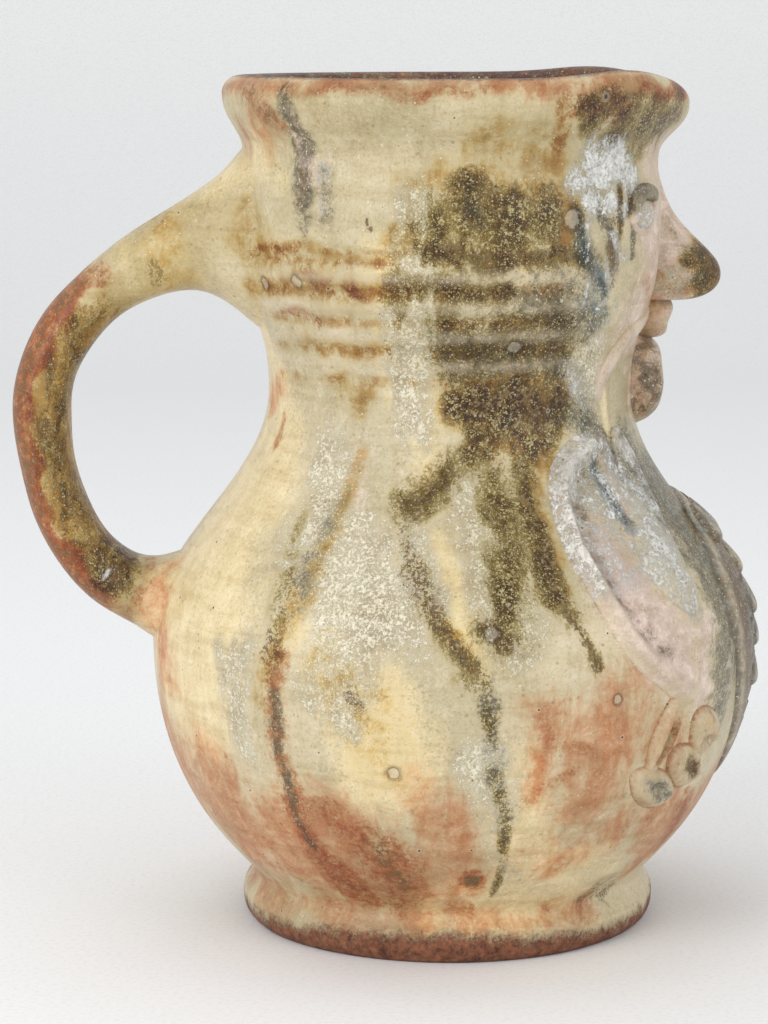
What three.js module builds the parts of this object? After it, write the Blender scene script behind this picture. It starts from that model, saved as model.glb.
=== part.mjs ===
// An owl pitcher in wood-fired stoneware: a thrown jug with a pulled handle, and an owl's eyes,
// beak, wings, breast and feet luted onto the wall as separate pieces of clay.
// Millimetres, +Z up. The origin is the centre of the flat foot on the throwing axis. +X points
// to the owl's face and the pouring lip, the handle is at -X, and the owl's right side is at -Y.

import * as THREE from 'three';
import { mergeVertices } from 'three/addons/utils/BufferGeometryUtils.js';

// Thrown vessel: the height to the top of the rim, the radii from the axis, and the rise of each
// level above the one below it. The wall between waist and collar takes what the rest leaves.
const jugHeight = 231.8;
const footBaseRadius = 54.9;
const footRadius = 57.3;
const footEdgeRise = 6;
const waistRadius = 54.6;
const waistRise = 7.5;
const bellyRadius = 81.6;
const bellyShare = 0.361;
const neckRadius = 49.8;
const neckShare = 0.375;
const collarRadius = 57.6;
const pinchRadius = 56.6;
const pinchRise = 16.7;
const rimRadius = 62.1;
const flareRise = 15.1;
const rimThickness = 10;
const wallThickness = 5.5;
const floorThickness = 8;

// How far the wall runs on straight before it bends: the handles of the outline's curves.
const waistSweepOut = 1.7;
const waistSweepUp = 4.9;
const bellySweepDown = 45.7;
const bellySweepUp = 26.4;
const neckSweepDown = 26;
const neckSweepUp = 20.7;
const collarSweepDown = 29.5;
const pinchSweep = 5.3;
const rimSweepDown = 6.8;

// Throwing rings left on the neck by the fingers, smoothed away under the face and the handle.
const ringPitch = 6;
const ringDepth = 0.9;
const ringCount = 8;
const ringsAboveNeck = 7;
const ringsStartAzimuth = 50;
const ringsEndAzimuth = 146;
const ringsFade = 11;

// Pouring lip: the rim pulled forward and pressed down between two raised shoulders.
const lipPull = 3.2;
const lipDip = 3;
const lipShoulder = 1.8;
const lipDepth = 25;
const lipPullAzimuth = 30;
const lipDipAzimuth = 18;
const lipShoulderAzimuth = 42;

// Pulled handle: an oval strap whose two roots flare over the wall. Each root's size is reached at
// the wall and falls off over its reach, and its sections bend to the wall within the seat reach.
const handleReach = 111.4;
const handleTopAboveCollar = -7;
const handleMiddleAboveNeck = -5.5;
const handleFootAboveBelly = 11;
const handleTopSweep = 28;
const handleShoulderSweep = 24;
const handleElbowSweep = 23;
const handleFootSweep = 22;
const handleTopSink = 2;
const handleFootLift = 3;
const handleThickness = 15.4;
const handleWidth = 23;
const upperRootHeight = 45;
const upperRootWidth = 45;
const upperRootReach = 10.5;
const lowerRootHeight = 24;
const lowerRootWidth = 31;
const lowerRootReach = 6;
const rootSeatReach = 9;

// Clay left between two pieces, and the thinnest edge that a pressed-on piece is feathered to.
const seatGap = 0.3;
const edgeThickness = 0.7;

// Face: azimuths are degrees from the middle of the face, and sizes lie along the wall.
const eyeAzimuth = 30;
const eyeAboveCollar = 2;
const eyeWidth = 18.5;
const eyeHeight = 14;
const eyeRingWidth = 3.8;
const eyeRingThickness = 2.6;
const eyeballThickness = 2.4;
const eyeballClearance = 0.5;

const beakTopAboveCollar = 11;
const beakFootBelowCollar = 23.8;
const beakTipBelowCollar = 15.2;
const beakReach = 17;
const beakBridgeHalfWidth = 3.2;
const beakHalfWidth = 7;

// Ridge round the face: azimuths that it passes, and how much of its drop it has made there.
const ridgeWidth = 4.8;
const ridgeThickness = 2;
const ridgeDrop = 25.5;
const ridgePath = [
  { azimuth: 4.5, share: 0.12 },
  { azimuth: 15.8, share: 0.21 },
  { azimuth: 27, share: 0.31 },
  { azimuth: 38.9, share: 0.59 },
  { azimuth: 41, share: 0.86 },
  { azimuth: 39, share: 1 },
];

const lowerBeakWidth = 11;
const lowerBeakHeight = 6;
const lowerBeakThickness = 8;
const throatWidth = 25;
const throatHeight = 21.5;
const throatThickness = 7.4;
const throatEndThickness = 9;
const pieceClearance = 1;

// Wing: a leaf of clay with a raised roll along its back and lower edge.
const wingShoulderBelowNeck = 7.5;
const wingTipBelowBelly = 11;
const wingBackAzimuth = 67.5;
const wingFrontAzimuth = 28;
const wingTipAzimuth = 42.5;
const wingThickness = 1.6;
const wingRollThickness = 2.6;
const featherTopBelowNeck = 14;
const featherTipAboveBelly = 13;
const featherAzimuth = 41;
const featherTurn = 101;
const featherWidth = 15;
const featherThickness = 2;

// Breast: a shield of clay that carries rows of overlapping feather pellets.
const breastTopAboveBelly = 40;
const breastFootBelowBelly = 43;
const breastAzimuth = 24.4;
const breastThickness = 3.2;
const pelletWidth = 10.4;
const pelletHeight = 9;
const pelletThickness = 2;
const pelletRowPitch = 9.6;
const pelletColumnPitch = 11.4;
const pelletTopAboveBelly = 30;
const pelletRowCounts = [3, 2, 3, 2, 3];

// Feet: each toe is a pad given by its place from the foot's centre and its own size.
const footAzimuth = 45;
const footBelowWing = 13.3;
const toeThickness = 3.4;
const toes = {
  toe_1: { back: -12.8, rise: 5.4, length: 18, width: 9.4, turn: 20 },
  toe_2: { back: -6.2, rise: -2.7, length: 19.5, width: 7.4, turn: 28 },
  toe_3: { back: 6.2, rise: -6.5, length: 18.5, width: 7, turn: 21 },
  hind_claw: { back: 7.5, rise: 8.4, length: 15.5, width: 5.6, turn: 110 },
};

// Facets.
const vesselSides = 42;
const handleSides = 18;
const levelStep = 8;
const hollowStep = 5.5;
const rimStep = 3.7;
const handleRows = 26;
const rowCrowding = 0.65;
const eyeRingSides = 20;

const waistLevel = footEdgeRise + waistRise;
const rimLevel = jugHeight - rimThickness / 2;
const pinchLevel = rimLevel - flareRise;
const collarLevel = pinchLevel - pinchRise;
const bellyLevel = waistLevel + bellyShare * (collarLevel - waistLevel);
const neckLevel = bellyLevel + neckShare * (collarLevel - waistLevel);

const { degToRad, lerp, smoothstep, clamp } = THREE.MathUtils;
const vector = (x, y, z) => new THREE.Vector3(x, y, z);
const point = (radius, level) => new THREE.Vector2(radius, level);
const bell = (value, width) => Math.exp(-((value / width) ** 2));

// Solids

// A closed solid from a list of points and triangles: shared points are merged, triangles that
// collapse at a pole are dropped, and the faces are turned to point out.
function closedGeometry(points, triangles) {
  const loose = new THREE.BufferGeometry();
  const places = points.flatMap((p) => [p.x, p.y, p.z]);
  loose.setAttribute('position', new THREE.Float32BufferAttribute(places, 3));
  loose.setIndex(triangles.flat());
  const merged = mergeVertices(loose, 1e-3);
  const position = merged.getAttribute('position');
  const corner = (index) => vector().fromBufferAttribute(position, index);
  const kept = [];
  let volume = 0;
  for (let i = 0; i < merged.index.count; i += 3) {
    const [a, b, c] = [0, 1, 2].map((k) => merged.index.getX(i + k));
    if (a === b || b === c || c === a) continue;
    kept.push([a, b, c]);
    volume += corner(a).dot(corner(b).cross(corner(c)));
  }
  merged.setIndex(kept.flatMap(([a, b, c]) => (volume > 0 ? [a, b, c] : [a, c, b])));
  merged.computeVertexNormals();
  return merged;
}

// A solid through a stack of closed loops. It ends in a pole at each end, a loop of one point,
// unless the stack is a ring that meets itself.
function loft(loops, isRing = false) {
  const stack = isRing ? [...loops, loops[0]] : loops;
  const sides = loops[1].length;
  const points = stack.flatMap((loop) => Array.from({ length: sides }, (_, k) => loop[k % loop.length]));
  const triangles = [];
  for (let row = 0; row < stack.length - 1; row++) {
    for (let k = 0; k < sides; k++) {
      const [a, b] = [row * sides + k, row * sides + ((k + 1) % sides)];
      triangles.push([a, b, b + sides], [a, b + sides, a + sides]);
    }
  }
  return closedGeometry(points, triangles);
}

function middle(loop) {
  return loop.reduce((sum, p) => sum.add(p), vector(0, 0, 0)).divideScalar(loop.length);
}

// Wall of the vessel

const outline = [
  new THREE.CubicBezierCurve(
    point(footBaseRadius, 0),
    point(footRadius - 0.4, 1.2),
    point(footRadius, 3),
    point(footRadius, footEdgeRise),
  ),
  new THREE.CubicBezierCurve(
    point(footRadius, footEdgeRise),
    point(footRadius, footEdgeRise + waistRise / 2),
    point(waistRadius - waistSweepOut / 2, waistLevel - waistSweepUp / 2),
    point(waistRadius, waistLevel),
  ),
  new THREE.CubicBezierCurve(
    point(waistRadius, waistLevel),
    point(waistRadius + waistSweepOut, waistLevel + waistSweepUp),
    point(bellyRadius, bellyLevel - bellySweepDown),
    point(bellyRadius, bellyLevel),
  ),
  new THREE.CubicBezierCurve(
    point(bellyRadius, bellyLevel),
    point(bellyRadius, bellyLevel + bellySweepUp),
    point(neckRadius, neckLevel - neckSweepDown),
    point(neckRadius, neckLevel),
  ),
  new THREE.CubicBezierCurve(
    point(neckRadius, neckLevel),
    point(neckRadius, neckLevel + neckSweepUp),
    point(collarRadius, collarLevel - collarSweepDown),
    point(collarRadius, collarLevel),
  ),
  new THREE.CubicBezierCurve(
    point(collarRadius, collarLevel),
    point(collarRadius, collarLevel + pinchSweep),
    point(pinchRadius, pinchLevel - pinchSweep),
    point(pinchRadius, pinchLevel),
  ),
  new THREE.CubicBezierCurve(
    point(pinchRadius, pinchLevel),
    point(pinchRadius, pinchLevel + pinchSweep),
    point(rimRadius, rimLevel - rimSweepDown),
    point(rimRadius, rimLevel),
  ),
];

// Radius of the thrown wall at a level, before the rings and the lip.
function thrownRadius(level) {
  const curve = outline.find((c) => level <= c.v3.y) ?? outline.at(-1);
  let [low, high] = [0, 1];
  for (let i = 0; i < 30; i++) {
    const half = (low + high) / 2;
    if (curve.getPoint(half).y < level) low = half;
    else high = half;
  }
  return curve.getPoint(low).x;
}

// How far a throwing ring stands out of the wall.
function ringHeight(azimuth, level) {
  const start = neckLevel + ringsAboveNeck;
  const turns = (level - start) / ringPitch;
  if (turns < 0 || turns > ringCount) return 0;
  const away = Math.abs(azimuth);
  const shown =
    smoothstep(away, ringsStartAzimuth, ringsStartAzimuth + ringsFade) *
    (1 - smoothstep(away, ringsEndAzimuth, ringsEndAzimuth + ringsFade));
  return (shown * ringDepth * (1 - Math.cos(2 * Math.PI * turns))) / 2;
}

// How far the pouring lip pulls the wall out and lifts it.
function lipWarp(azimuth, level) {
  const share = smoothstep(level, rimLevel + rimThickness / 2 - lipDepth, rimLevel);
  const shoulder = bell(Math.abs(azimuth) - lipShoulderAzimuth, lipDipAzimuth) * lipShoulder;
  return {
    pull: share * lipPull * bell(azimuth, lipPullAzimuth),
    lift: share * (shoulder - lipDip * bell(azimuth, lipDipAzimuth)),
  };
}

// A point above the outer wall, at a thickness measured square to it.
function onWall(azimuth, level, thickness) {
  const step = 0.5;
  const slope = (thrownRadius(level + step) - thrownRadius(level - step)) / (2 * step);
  const length = Math.hypot(1, slope);
  const radius = thrownRadius(level) + ringHeight(azimuth, level) + lipWarp(azimuth, level).pull;
  const out = radius + thickness / length;
  const angle = degToRad(azimuth);
  return vector(out * Math.cos(angle), out * Math.sin(angle), level - (thickness * slope) / length);
}

function levelsBetween(low, high, step) {
  const count = Math.max(1, Math.round((high - low) / step));
  return Array.from({ length: count }, (_, k) => lerp(low, high, (k + 1) / count));
}

function thrownVessel() {
  const ringsLevel = neckLevel + ringsAboveNeck;
  const levels = [
    ...levelsBetween(0, footEdgeRise, 2),
    ...levelsBetween(footEdgeRise, waistLevel, 3),
    ...levelsBetween(waistLevel, bellyLevel, levelStep),
    ...levelsBetween(bellyLevel, neckLevel, hollowStep),
    ...levelsBetween(neckLevel, ringsLevel, hollowStep),
    ...levelsBetween(ringsLevel, ringsLevel + ringCount * ringPitch, ringPitch / 2),
    ...levelsBetween(ringsLevel + ringCount * ringPitch, rimLevel, rimStep),
  ];
  const profile = [point(0, 0), point(footBaseRadius, 0)];
  profile.push(...levels.map((level) => point(thrownRadius(level), level)));

  const bead = new THREE.EllipseCurve(
    rimRadius - rimThickness / 2,
    rimLevel,
    rimThickness / 2,
    rimThickness / 2,
    0,
    Math.PI,
  );
  profile.push(...bead.getPoints(5).slice(1));

  // The inside follows the outside at the wall's thickness, measured square to it.
  const inner = [
    ...levelsBetween(waistLevel, bellyLevel, 2 * levelStep),
    ...levelsBetween(bellyLevel, neckLevel, 2 * hollowStep),
    ...levelsBetween(neckLevel, pinchLevel, 2 * levelStep),
  ];
  for (const level of inner.reverse()) {
    const square = onWall(180, level, -wallThickness);
    profile.push(point(-square.x, square.z));
  }
  profile.push(point(waistRadius - 2 * wallThickness, floorThickness), point(0, floorThickness));

  const lathe = new THREE.LatheGeometry(profile, vesselSides);
  lathe.rotateX(Math.PI / 2);
  const position = lathe.getAttribute('position');
  const points = Array.from({ length: position.count }, (_, k) => {
    const p = vector().fromBufferAttribute(position, k);
    const radius = Math.hypot(p.x, p.y);
    const azimuth = THREE.MathUtils.radToDeg(Math.atan2(p.y, p.x));
    const isOutside = radius > thrownRadius(clamp(p.z, 0.1, rimLevel)) - wallThickness / 2;
    const { pull, lift } = lipWarp(azimuth, p.z);
    const ring = isOutside ? ringHeight(azimuth, p.z) : 0;
    const grown = radius < 1 ? 1 : (radius + pull + ring) / radius;
    return vector(p.x * grown, p.y * grown, p.z + lift);
  });
  const triangles = [];
  for (let i = 0; i < lathe.index.count; i += 3) {
    triangles.push([0, 1, 2].map((k) => lathe.index.getX(i + k)));
  }
  return closedGeometry(points, triangles);
}

// Pads: pieces of clay pressed onto the wall

// A closed outline on the wall round a centre, through a few points of azimuth and level.
function padOutline(centre, corners) {
  const curve = new THREE.CatmullRomCurve3(
    corners.map(([azimuth, level]) => vector(azimuth, level, 0)),
    true,
  );
  return { centre: point(...centre), at: (share) => curve.getPoint(share) };
}

// An outline with its sizes in millimetres along the wall: an oval, or a leaf if it is pointed.
function leafOutline(azimuth, level, { length, width, turn = 0, pointed = 0 }) {
  const perDegree = degToRad(1) * thrownRadius(level);
  const tilt = degToRad(turn);
  return {
    centre: point(azimuth, level),
    at: (share) => {
      const angle = share * 2 * Math.PI;
      const along = (length / 2) * Math.cos(angle);
      const narrowing = 1 - pointed * Math.max(0, -Math.cos(angle)) ** 2;
      const across = (width / 2) * Math.sin(angle) * narrowing;
      const back = along * Math.cos(tilt) - across * Math.sin(tilt);
      const rise = along * Math.sin(tilt) + across * Math.cos(tilt);
      return vector(azimuth + back / perDegree, level + rise, 0);
    },
  };
}

// A pad whose underside lies on the wall, or on a base of its own, and whose top is domed by
// thickness(share, azimuth, level), where share runs from 0 at the centre to 1 at the edge.
function pad(form, { shares, seatShares, sides, thickness, base = () => 0 }) {
  const spot = (share, k) => {
    const edge = form.at(k / sides);
    return [lerp(form.centre.x, edge.x, share), lerp(form.centre.y, edge.y, share)];
  };
  const loop = (share, height) =>
    Array.from({ length: share > 0 ? sides : 1 }, (_, k) => {
      const [azimuth, level] = spot(share, k);
      return onWall(azimuth, level, height(share, azimuth, level));
    });
  const under = (share, azimuth, level) => base(azimuth, level) + seatGap;
  const over = (...at) => under(...at) + Math.max(edgeThickness, thickness(...at));
  const seated = [0, ...(seatShares ?? shares)];
  return loft([...seated.map((s) => loop(s, under)), ...[0, ...shares].reverse().map((s) => loop(s, over))]);
}

// A roll of clay along a path on the wall, with a round back and tapered ends.
function roll(path, { width, thickness, steps }) {
  const curve = new THREE.CatmullRomCurve3(path.map(([azimuth, level]) => vector(azimuth, level, 0)));
  const loops = [];
  for (let i = 0; i <= steps; i++) {
    const at = curve.getPoint(i / steps);
    const ahead = curve.getTangent(i / steps);
    const perDegree = degToRad(1) * thrownRadius(at.y);
    const across = new THREE.Vector2(-ahead.y, ahead.x * perDegree).normalize();
    const fullness = Math.sin(Math.PI * lerp(0.13, 0.87, i / steps)) ** 0.5;
    const spot = (side, height) =>
      onWall(
        at.x + (side * width * fullness * across.x) / (2 * perDegree),
        at.y + (side * width * fullness * across.y) / 2,
        seatGap + height * fullness,
      );
    const rounded = (side) => spot(side, thickness * Math.sqrt(1 - side * side));
    const back = [-0.95, -0.55, 0, 0.55, 0.95].map(rounded);
    loops.push([spot(1, 0), spot(0, 0), spot(-1, 0), ...back]);
  }
  return loft([[middle(loops[0])], ...loops, [middle(loops.at(-1))]]);
}

// The same piece on the owl's other side.
function mirrored(geometry) {
  const copy = geometry.clone().scale(1, -1, 1);
  const index = copy.index.array;
  for (let i = 0; i < index.length; i += 3) [index[i], index[i + 1]] = [index[i + 1], index[i]];
  copy.computeVertexNormals();
  return copy;
}

const dome = (height) => (share) => height * Math.sqrt(Math.max(0, 1 - share * share));
const domeShares = [0.6, 0.88, 1];
const seatRings = [0.18, 0.36, 0.54, 0.7, 0.85, 1];

// Handle

function strapSection(centre, across, thickness, width) {
  return Array.from({ length: handleSides }, (_, k) => {
    const angle = (k / handleSides) * 2 * Math.PI;
    const out = (thickness / 2) * Math.cos(angle);
    return vector(centre.x, (width / 2) * Math.sin(angle), centre.y)
      .add(vector(across.x * out, 0, across.y * out));
  });
}

// A loop of points bent to the wall: near it, every point stands as far off as the middle does.
function bentToWall(loop) {
  const centre = middle(loop);
  const off = Math.max(0, Math.hypot(centre.x, centre.y) - thrownRadius(centre.z));
  const seated = bell(off, rootSeatReach);
  return loop.map((p) => {
    const azimuth = THREE.MathUtils.radToDeg(Math.atan2(p.y, p.x));
    const seat = onWall(azimuth, p.z, seatGap);
    const wall = Math.hypot(seat.x, seat.y);
    const radius = Math.hypot(p.x, p.y);
    const bent = wall + Math.max(Math.min(off, edgeThickness), lerp(radius - wall, off, seated));
    return vector((p.x * bent) / radius, (p.y * bent) / radius, p.z);
  });
}

// Loops that close a root over the curved wall, from the middle of the root to its edge.
function rootLoops(edge) {
  const centre = middle(edge);
  const rings = [0, 0.35, 0.7, 1].map((share) => edge.map((p) => centre.clone().lerp(p, share)));
  const seated = rings.map((loop) =>
    loop.map((p) => {
      const seat = onWall(THREE.MathUtils.radToDeg(Math.atan2(p.y, p.x)), p.z, seatGap);
      return vector(seat.x, seat.y, p.z);
    }),
  );
  return [[seated[0][0]], ...seated.slice(1)];
}

function pulledHandle() {
  const topLevel = collarLevel + handleTopAboveCollar;
  const middleLevel = neckLevel + handleMiddleAboveNeck;
  const footLevel = bellyLevel + handleFootAboveBelly;
  const top = point(-thrownRadius(topLevel), topLevel);
  const out = point(-handleReach, middleLevel);
  const end = point(-thrownRadius(footLevel), footLevel);
  const spine = new THREE.CurvePath();
  spine.add(new THREE.CubicBezierCurve(
    top,
    point(top.x - handleTopSweep, top.y - handleTopSink),
    point(out.x, out.y + handleShoulderSweep),
    out,
  ));
  spine.add(new THREE.CubicBezierCurve(
    out,
    point(out.x, out.y - handleElbowSweep),
    point(end.x - handleFootSweep, end.y + handleFootLift),
    end,
  ));
  const length = spine.getLength();
  const loops = [];
  for (let i = 0; i <= handleRows; i++) {
    const even = i / handleRows;
    const share = lerp(even, smoothstep(even, 0, 1), rowCrowding);
    const centre = spine.getPoint(share);
    const along = spine.getTangent(share);
    const fromTop = Math.exp(-(share * length) / upperRootReach);
    const fromFoot = Math.exp(-((1 - share) * length) / lowerRootReach);
    const thickness =
      handleThickness +
      (upperRootHeight - handleThickness) * fromTop +
      (lowerRootHeight - handleThickness) * fromFoot;
    const width =
      handleWidth + (upperRootWidth - handleWidth) * fromTop + (lowerRootWidth - handleWidth) * fromFoot;
    loops.push(strapSection(centre, point(-along.y, along.x), thickness, width));
  }
  const between = loops.slice(1, -1).map(bentToWall);
  return loft([...rootLoops(loops[0]), ...between, ...rootLoops(loops.at(-1)).toReversed()]);
}

// Face

function eyeRing() {
  const level = collarLevel + eyeAboveCollar;
  const loops = Array.from({ length: eyeRingSides }, (_, row) => {
    const spot = (inset, height) => {
      const size = { length: eyeWidth - 2 * inset, width: eyeHeight - 2 * inset };
      const form = leafOutline(eyeAzimuth, level, size);
      const at = form.at(row / eyeRingSides);
      return onWall(at.x, at.y, seatGap + height);
    };
    const section = [0, 0.2, 0.5, 0.8, 1].map((across) =>
      spot(across * eyeRingWidth, eyeRingThickness * Math.sqrt(Math.max(0.05, 1 - (2 * across - 1) ** 2))),
    );
    return [...section, spot(eyeRingWidth, 0), spot(0, 0)];
  });
  return loft(loops, true);
}

function eyeball() {
  const inset = eyeRingWidth + eyeballClearance;
  const form = leafOutline(eyeAzimuth, collarLevel + eyeAboveCollar, {
    length: eyeWidth - 2 * inset,
    width: eyeHeight - 2 * inset,
  });
  return pad(form, { shares: domeShares, sides: 12, thickness: dome(eyeballThickness) });
}

// The beak is lofted down the outline of its own silhouette. Each loop crosses the wall behind,
// and comes back over the bridge, bulging more towards the hooked tip.
function hookedBeak() {
  const top = collarLevel + beakTopAboveCollar;
  const foot = collarLevel - beakFootBelowCollar;
  const tip = collarLevel - beakTipBelowCollar;
  const wall = thrownRadius(tip);
  const bridge = new THREE.CubicBezierCurve(
    point(thrownRadius(top) + 1, top),
    point(wall + 1.5, lerp(top, tip, 0.6)),
    point(wall + beakReach - 2, lerp(top, tip, 0.45)),
    point(wall + beakReach, tip),
  );
  const hook = new THREE.CubicBezierCurve(
    point(wall + beakReach, tip),
    point(wall + beakReach + 0.5, lerp(tip, foot, 0.55)),
    point(wall + 0.75 * beakReach, foot - 0.6),
    point(wall + 0.3 * beakReach, foot),
  );
  const spine = [...bridge.getPoints(9), ...hook.getPoints(6).slice(1)];
  const across = [-1, -0.8, -0.4, 0, 0.4, 0.8, 1];
  const loops = spine.map((crest, i) => {
    const share = i / (spine.length - 1);
    const seatLevel = Math.max(crest.y, foot + 0.8 * (1 - share));
    const halfWidth = lerp(beakBridgeHalfWidth, beakHalfWidth, smoothstep(share, 0.15, 0.75));
    const rounding = share > 0.85 ? lerp(1, 0.72, (share - 0.85) / 0.15) : 1;
    const azimuthAt = (side) => (side * halfWidth * rounding) / (degToRad(1) * thrownRadius(seatLevel));
    const over = across.map((side) => {
      const seat = onWall(azimuthAt(side), seatLevel, seatGap + edgeThickness);
      const lift = Math.sqrt(1 - side * side) ** 1.1;
      return vector(lerp(seat.x, crest.x, lift), seat.y, lerp(seat.z, crest.y, lift));
    });
    const under = across.toReversed().map((side) => onWall(azimuthAt(side), seatLevel, seatGap));
    return [...over, ...under];
  });
  return loft([[middle(loops[0])], ...loops, [middle(loops.at(-1))]]);
}

const beakFootLevel = collarLevel - beakFootBelowCollar;
const ridgeLevel = beakFootLevel - ridgePath[0].share * ridgeDrop;
const lowerBeakLevel = ridgeLevel - (ridgeWidth + lowerBeakHeight) / 2 - pieceClearance;
const throatLevel = lowerBeakLevel - (lowerBeakHeight + throatHeight) / 2 - pieceClearance;

function faceRidge() {
  const path = ridgePath.map(({ azimuth, share }) => [azimuth, beakFootLevel - share * ridgeDrop]);
  return roll(path, { width: ridgeWidth, thickness: ridgeThickness, steps: 17 });
}

function lowerBeak() {
  const form = leafOutline(0, lowerBeakLevel, { length: lowerBeakWidth, width: lowerBeakHeight });
  return pad(form, { shares: domeShares, sides: 12, thickness: dome(lowerBeakThickness) });
}

function throatFlap() {
  const form = leafOutline(0, throatLevel, { length: throatHeight, width: throatWidth, turn: 90, pointed: 0.2 });
  const squared = {
    centre: form.centre,
    at: (share) => {
      const edge = form.at(share);
      const corner = 1 + 0.16 * Math.sin(share * 4 * Math.PI) ** 2;
      return vector(form.centre.x + (edge.x - form.centre.x) * corner, edge.y, 0);
    },
  };
  const thickness = (share, azimuth, level) => {
    const down = (throatLevel - level) / throatHeight + 0.5;
    return lerp(throatThickness, throatEndThickness, down) * (1 - share ** 4) ** 0.5;
  };
  return pad(squared, { shares: [0.5, 0.8, 0.94, 1], seatShares: [0.33, 0.67, 1], sides: 20, thickness });
}

// Wing

const wingTopLevel = neckLevel - wingShoulderBelowNeck;
const wingTipLevel = bellyLevel - wingTipBelowBelly;
const wingLevel = (share) => lerp(wingTipLevel, wingTopLevel, share);
const wingAzimuth = (share) => lerp(wingFrontAzimuth, wingBackAzimuth, share);
const wingForm = padOutline([wingAzimuth(0.53), wingLevel(0.56)], [
  [wingAzimuth(0.35), wingTopLevel],
  [wingAzimuth(0.7), wingLevel(0.97)],
  [wingAzimuth(0.94), wingLevel(0.86)],
  [wingAzimuth(1), wingLevel(0.66)],
  [wingAzimuth(0.95), wingLevel(0.44)],
  [wingAzimuth(0.8), wingLevel(0.24)],
  [lerp(wingTipAzimuth, wingBackAzimuth, 0.35), wingLevel(0.1)],
  [wingTipAzimuth, wingTipLevel],
  [lerp(wingFrontAzimuth, wingTipAzimuth, 0.72), wingLevel(0.12)],
  [lerp(wingFrontAzimuth, wingTipAzimuth, 0.4), wingLevel(0.4)],
  [wingFrontAzimuth, wingLevel(0.7)],
  [wingAzimuth(0.12), wingLevel(0.92)],
]);

// The roll stands up along the back and the lower edge, and dies out towards the front.
function wingTop(share, azimuth) {
  const backness = smoothstep(azimuth, lerp(wingFrontAzimuth, wingTipAzimuth, 0.6), wingTipAzimuth + 8);
  return wingThickness * (1 - 0.5 * share ** 6) + wingRollThickness * backness * bell(share - 0.9, 0.07);
}

function wing() {
  const shares = [0.25, 0.5, 0.75, 0.84, 0.9, 0.96, 1];
  return pad(wingForm, { shares, seatShares: seatRings, sides: 34, thickness: wingTop });
}

// The feather lies on the flat middle of the wing, clear of the roll.
function wingFeather() {
  const top = neckLevel - featherTopBelowNeck;
  const tip = bellyLevel + featherTipAboveBelly;
  const form = leafOutline(featherAzimuth, (top + tip) / 2, {
    length: top - tip,
    width: featherWidth,
    turn: featherTurn,
    pointed: 0.55,
  });
  const base = () => wingThickness + seatGap;
  const shares = [0.3, 0.6, 0.85, 1];
  return pad(form, { shares, sides: 20, thickness: dome(featherThickness), base });
}

// Breast

const breastTopLevel = bellyLevel + breastTopAboveBelly;
const breastFootLevel = bellyLevel - breastFootBelowBelly;

function breastPanel() {
  const half = [
    [0.5, 0.92],
    [0.86, 0.8],
    [1, 0.64],
    [0.88, 0.44],
    [0.6, 0.2],
    [0.28, 0.04],
  ].map(([out, up]) => [out * breastAzimuth, lerp(breastFootLevel, breastTopLevel, up)]);
  const otherHalf = half.map(([azimuth, level]) => [-azimuth, level]).reverse();
  const form = padOutline([0, bellyLevel], [[0, breastTopLevel], ...half, [0, breastFootLevel], ...otherHalf]);
  const thickness = (share) => breastThickness * (1 - share ** 5) ** 0.5;
  return pad(form, { shares: [0.25, 0.5, 0.75, 0.92, 1], seatShares: seatRings, sides: 34, thickness });
}

function featherPellet(row, column, count) {
  const level = bellyLevel + pelletTopAboveBelly - row * pelletRowPitch;
  const perDegree = degToRad(1) * thrownRadius(level);
  const azimuth = ((column - (count - 1) / 2) * pelletColumnPitch) / perDegree;
  const form = leafOutline(azimuth, level, { length: pelletHeight, width: pelletWidth, turn: 90, pointed: -0.1 });
  const base = () => breastThickness + seatGap;
  return pad(form, { shares: [0.65, 1], sides: 12, thickness: dome(pelletThickness), base });
}

// Feet

function toe({ back, rise, length, width, turn }) {
  const level = wingTipLevel - footBelowWing + rise;
  const azimuth = footAzimuth + back / (degToRad(1) * thrownRadius(level));
  const form = leafOutline(azimuth, level, { length, width, turn, pointed: 0.3 });
  return pad(form, { shares: domeShares, sides: 12, thickness: dome(toeThickness) });
}

// Assembly

const glazes = {
  ash: { color: 0xb9a878, roughness: 0.3, metalness: 0 },
  olive: { color: 0x7d6f45, roughness: 0.3, metalness: 0 },
  iron: { color: 0x8a5a3c, roughness: 0.32, metalness: 0 },
  clay: { color: 0xb98d74, roughness: 0.4, metalness: 0 },
  grey: { color: 0x8d8f8b, roughness: 0.35, metalness: 0 },
  blue: { color: 0x9aa5ad, roughness: 0.3, metalness: 0 },
  pink: { color: 0xc6a79b, roughness: 0.35, metalness: 0 },
};

function piece(name, geometry, glaze) {
  const mesh = new THREE.Mesh(geometry, new THREE.MeshStandardMaterial(glazes[glaze]));
  mesh.name = name;
  return mesh;
}

function pair(name, geometry, glaze) {
  return [piece(`left_${name}`, geometry, glaze), piece(`right_${name}`, mirrored(geometry), glaze)];
}

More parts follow.
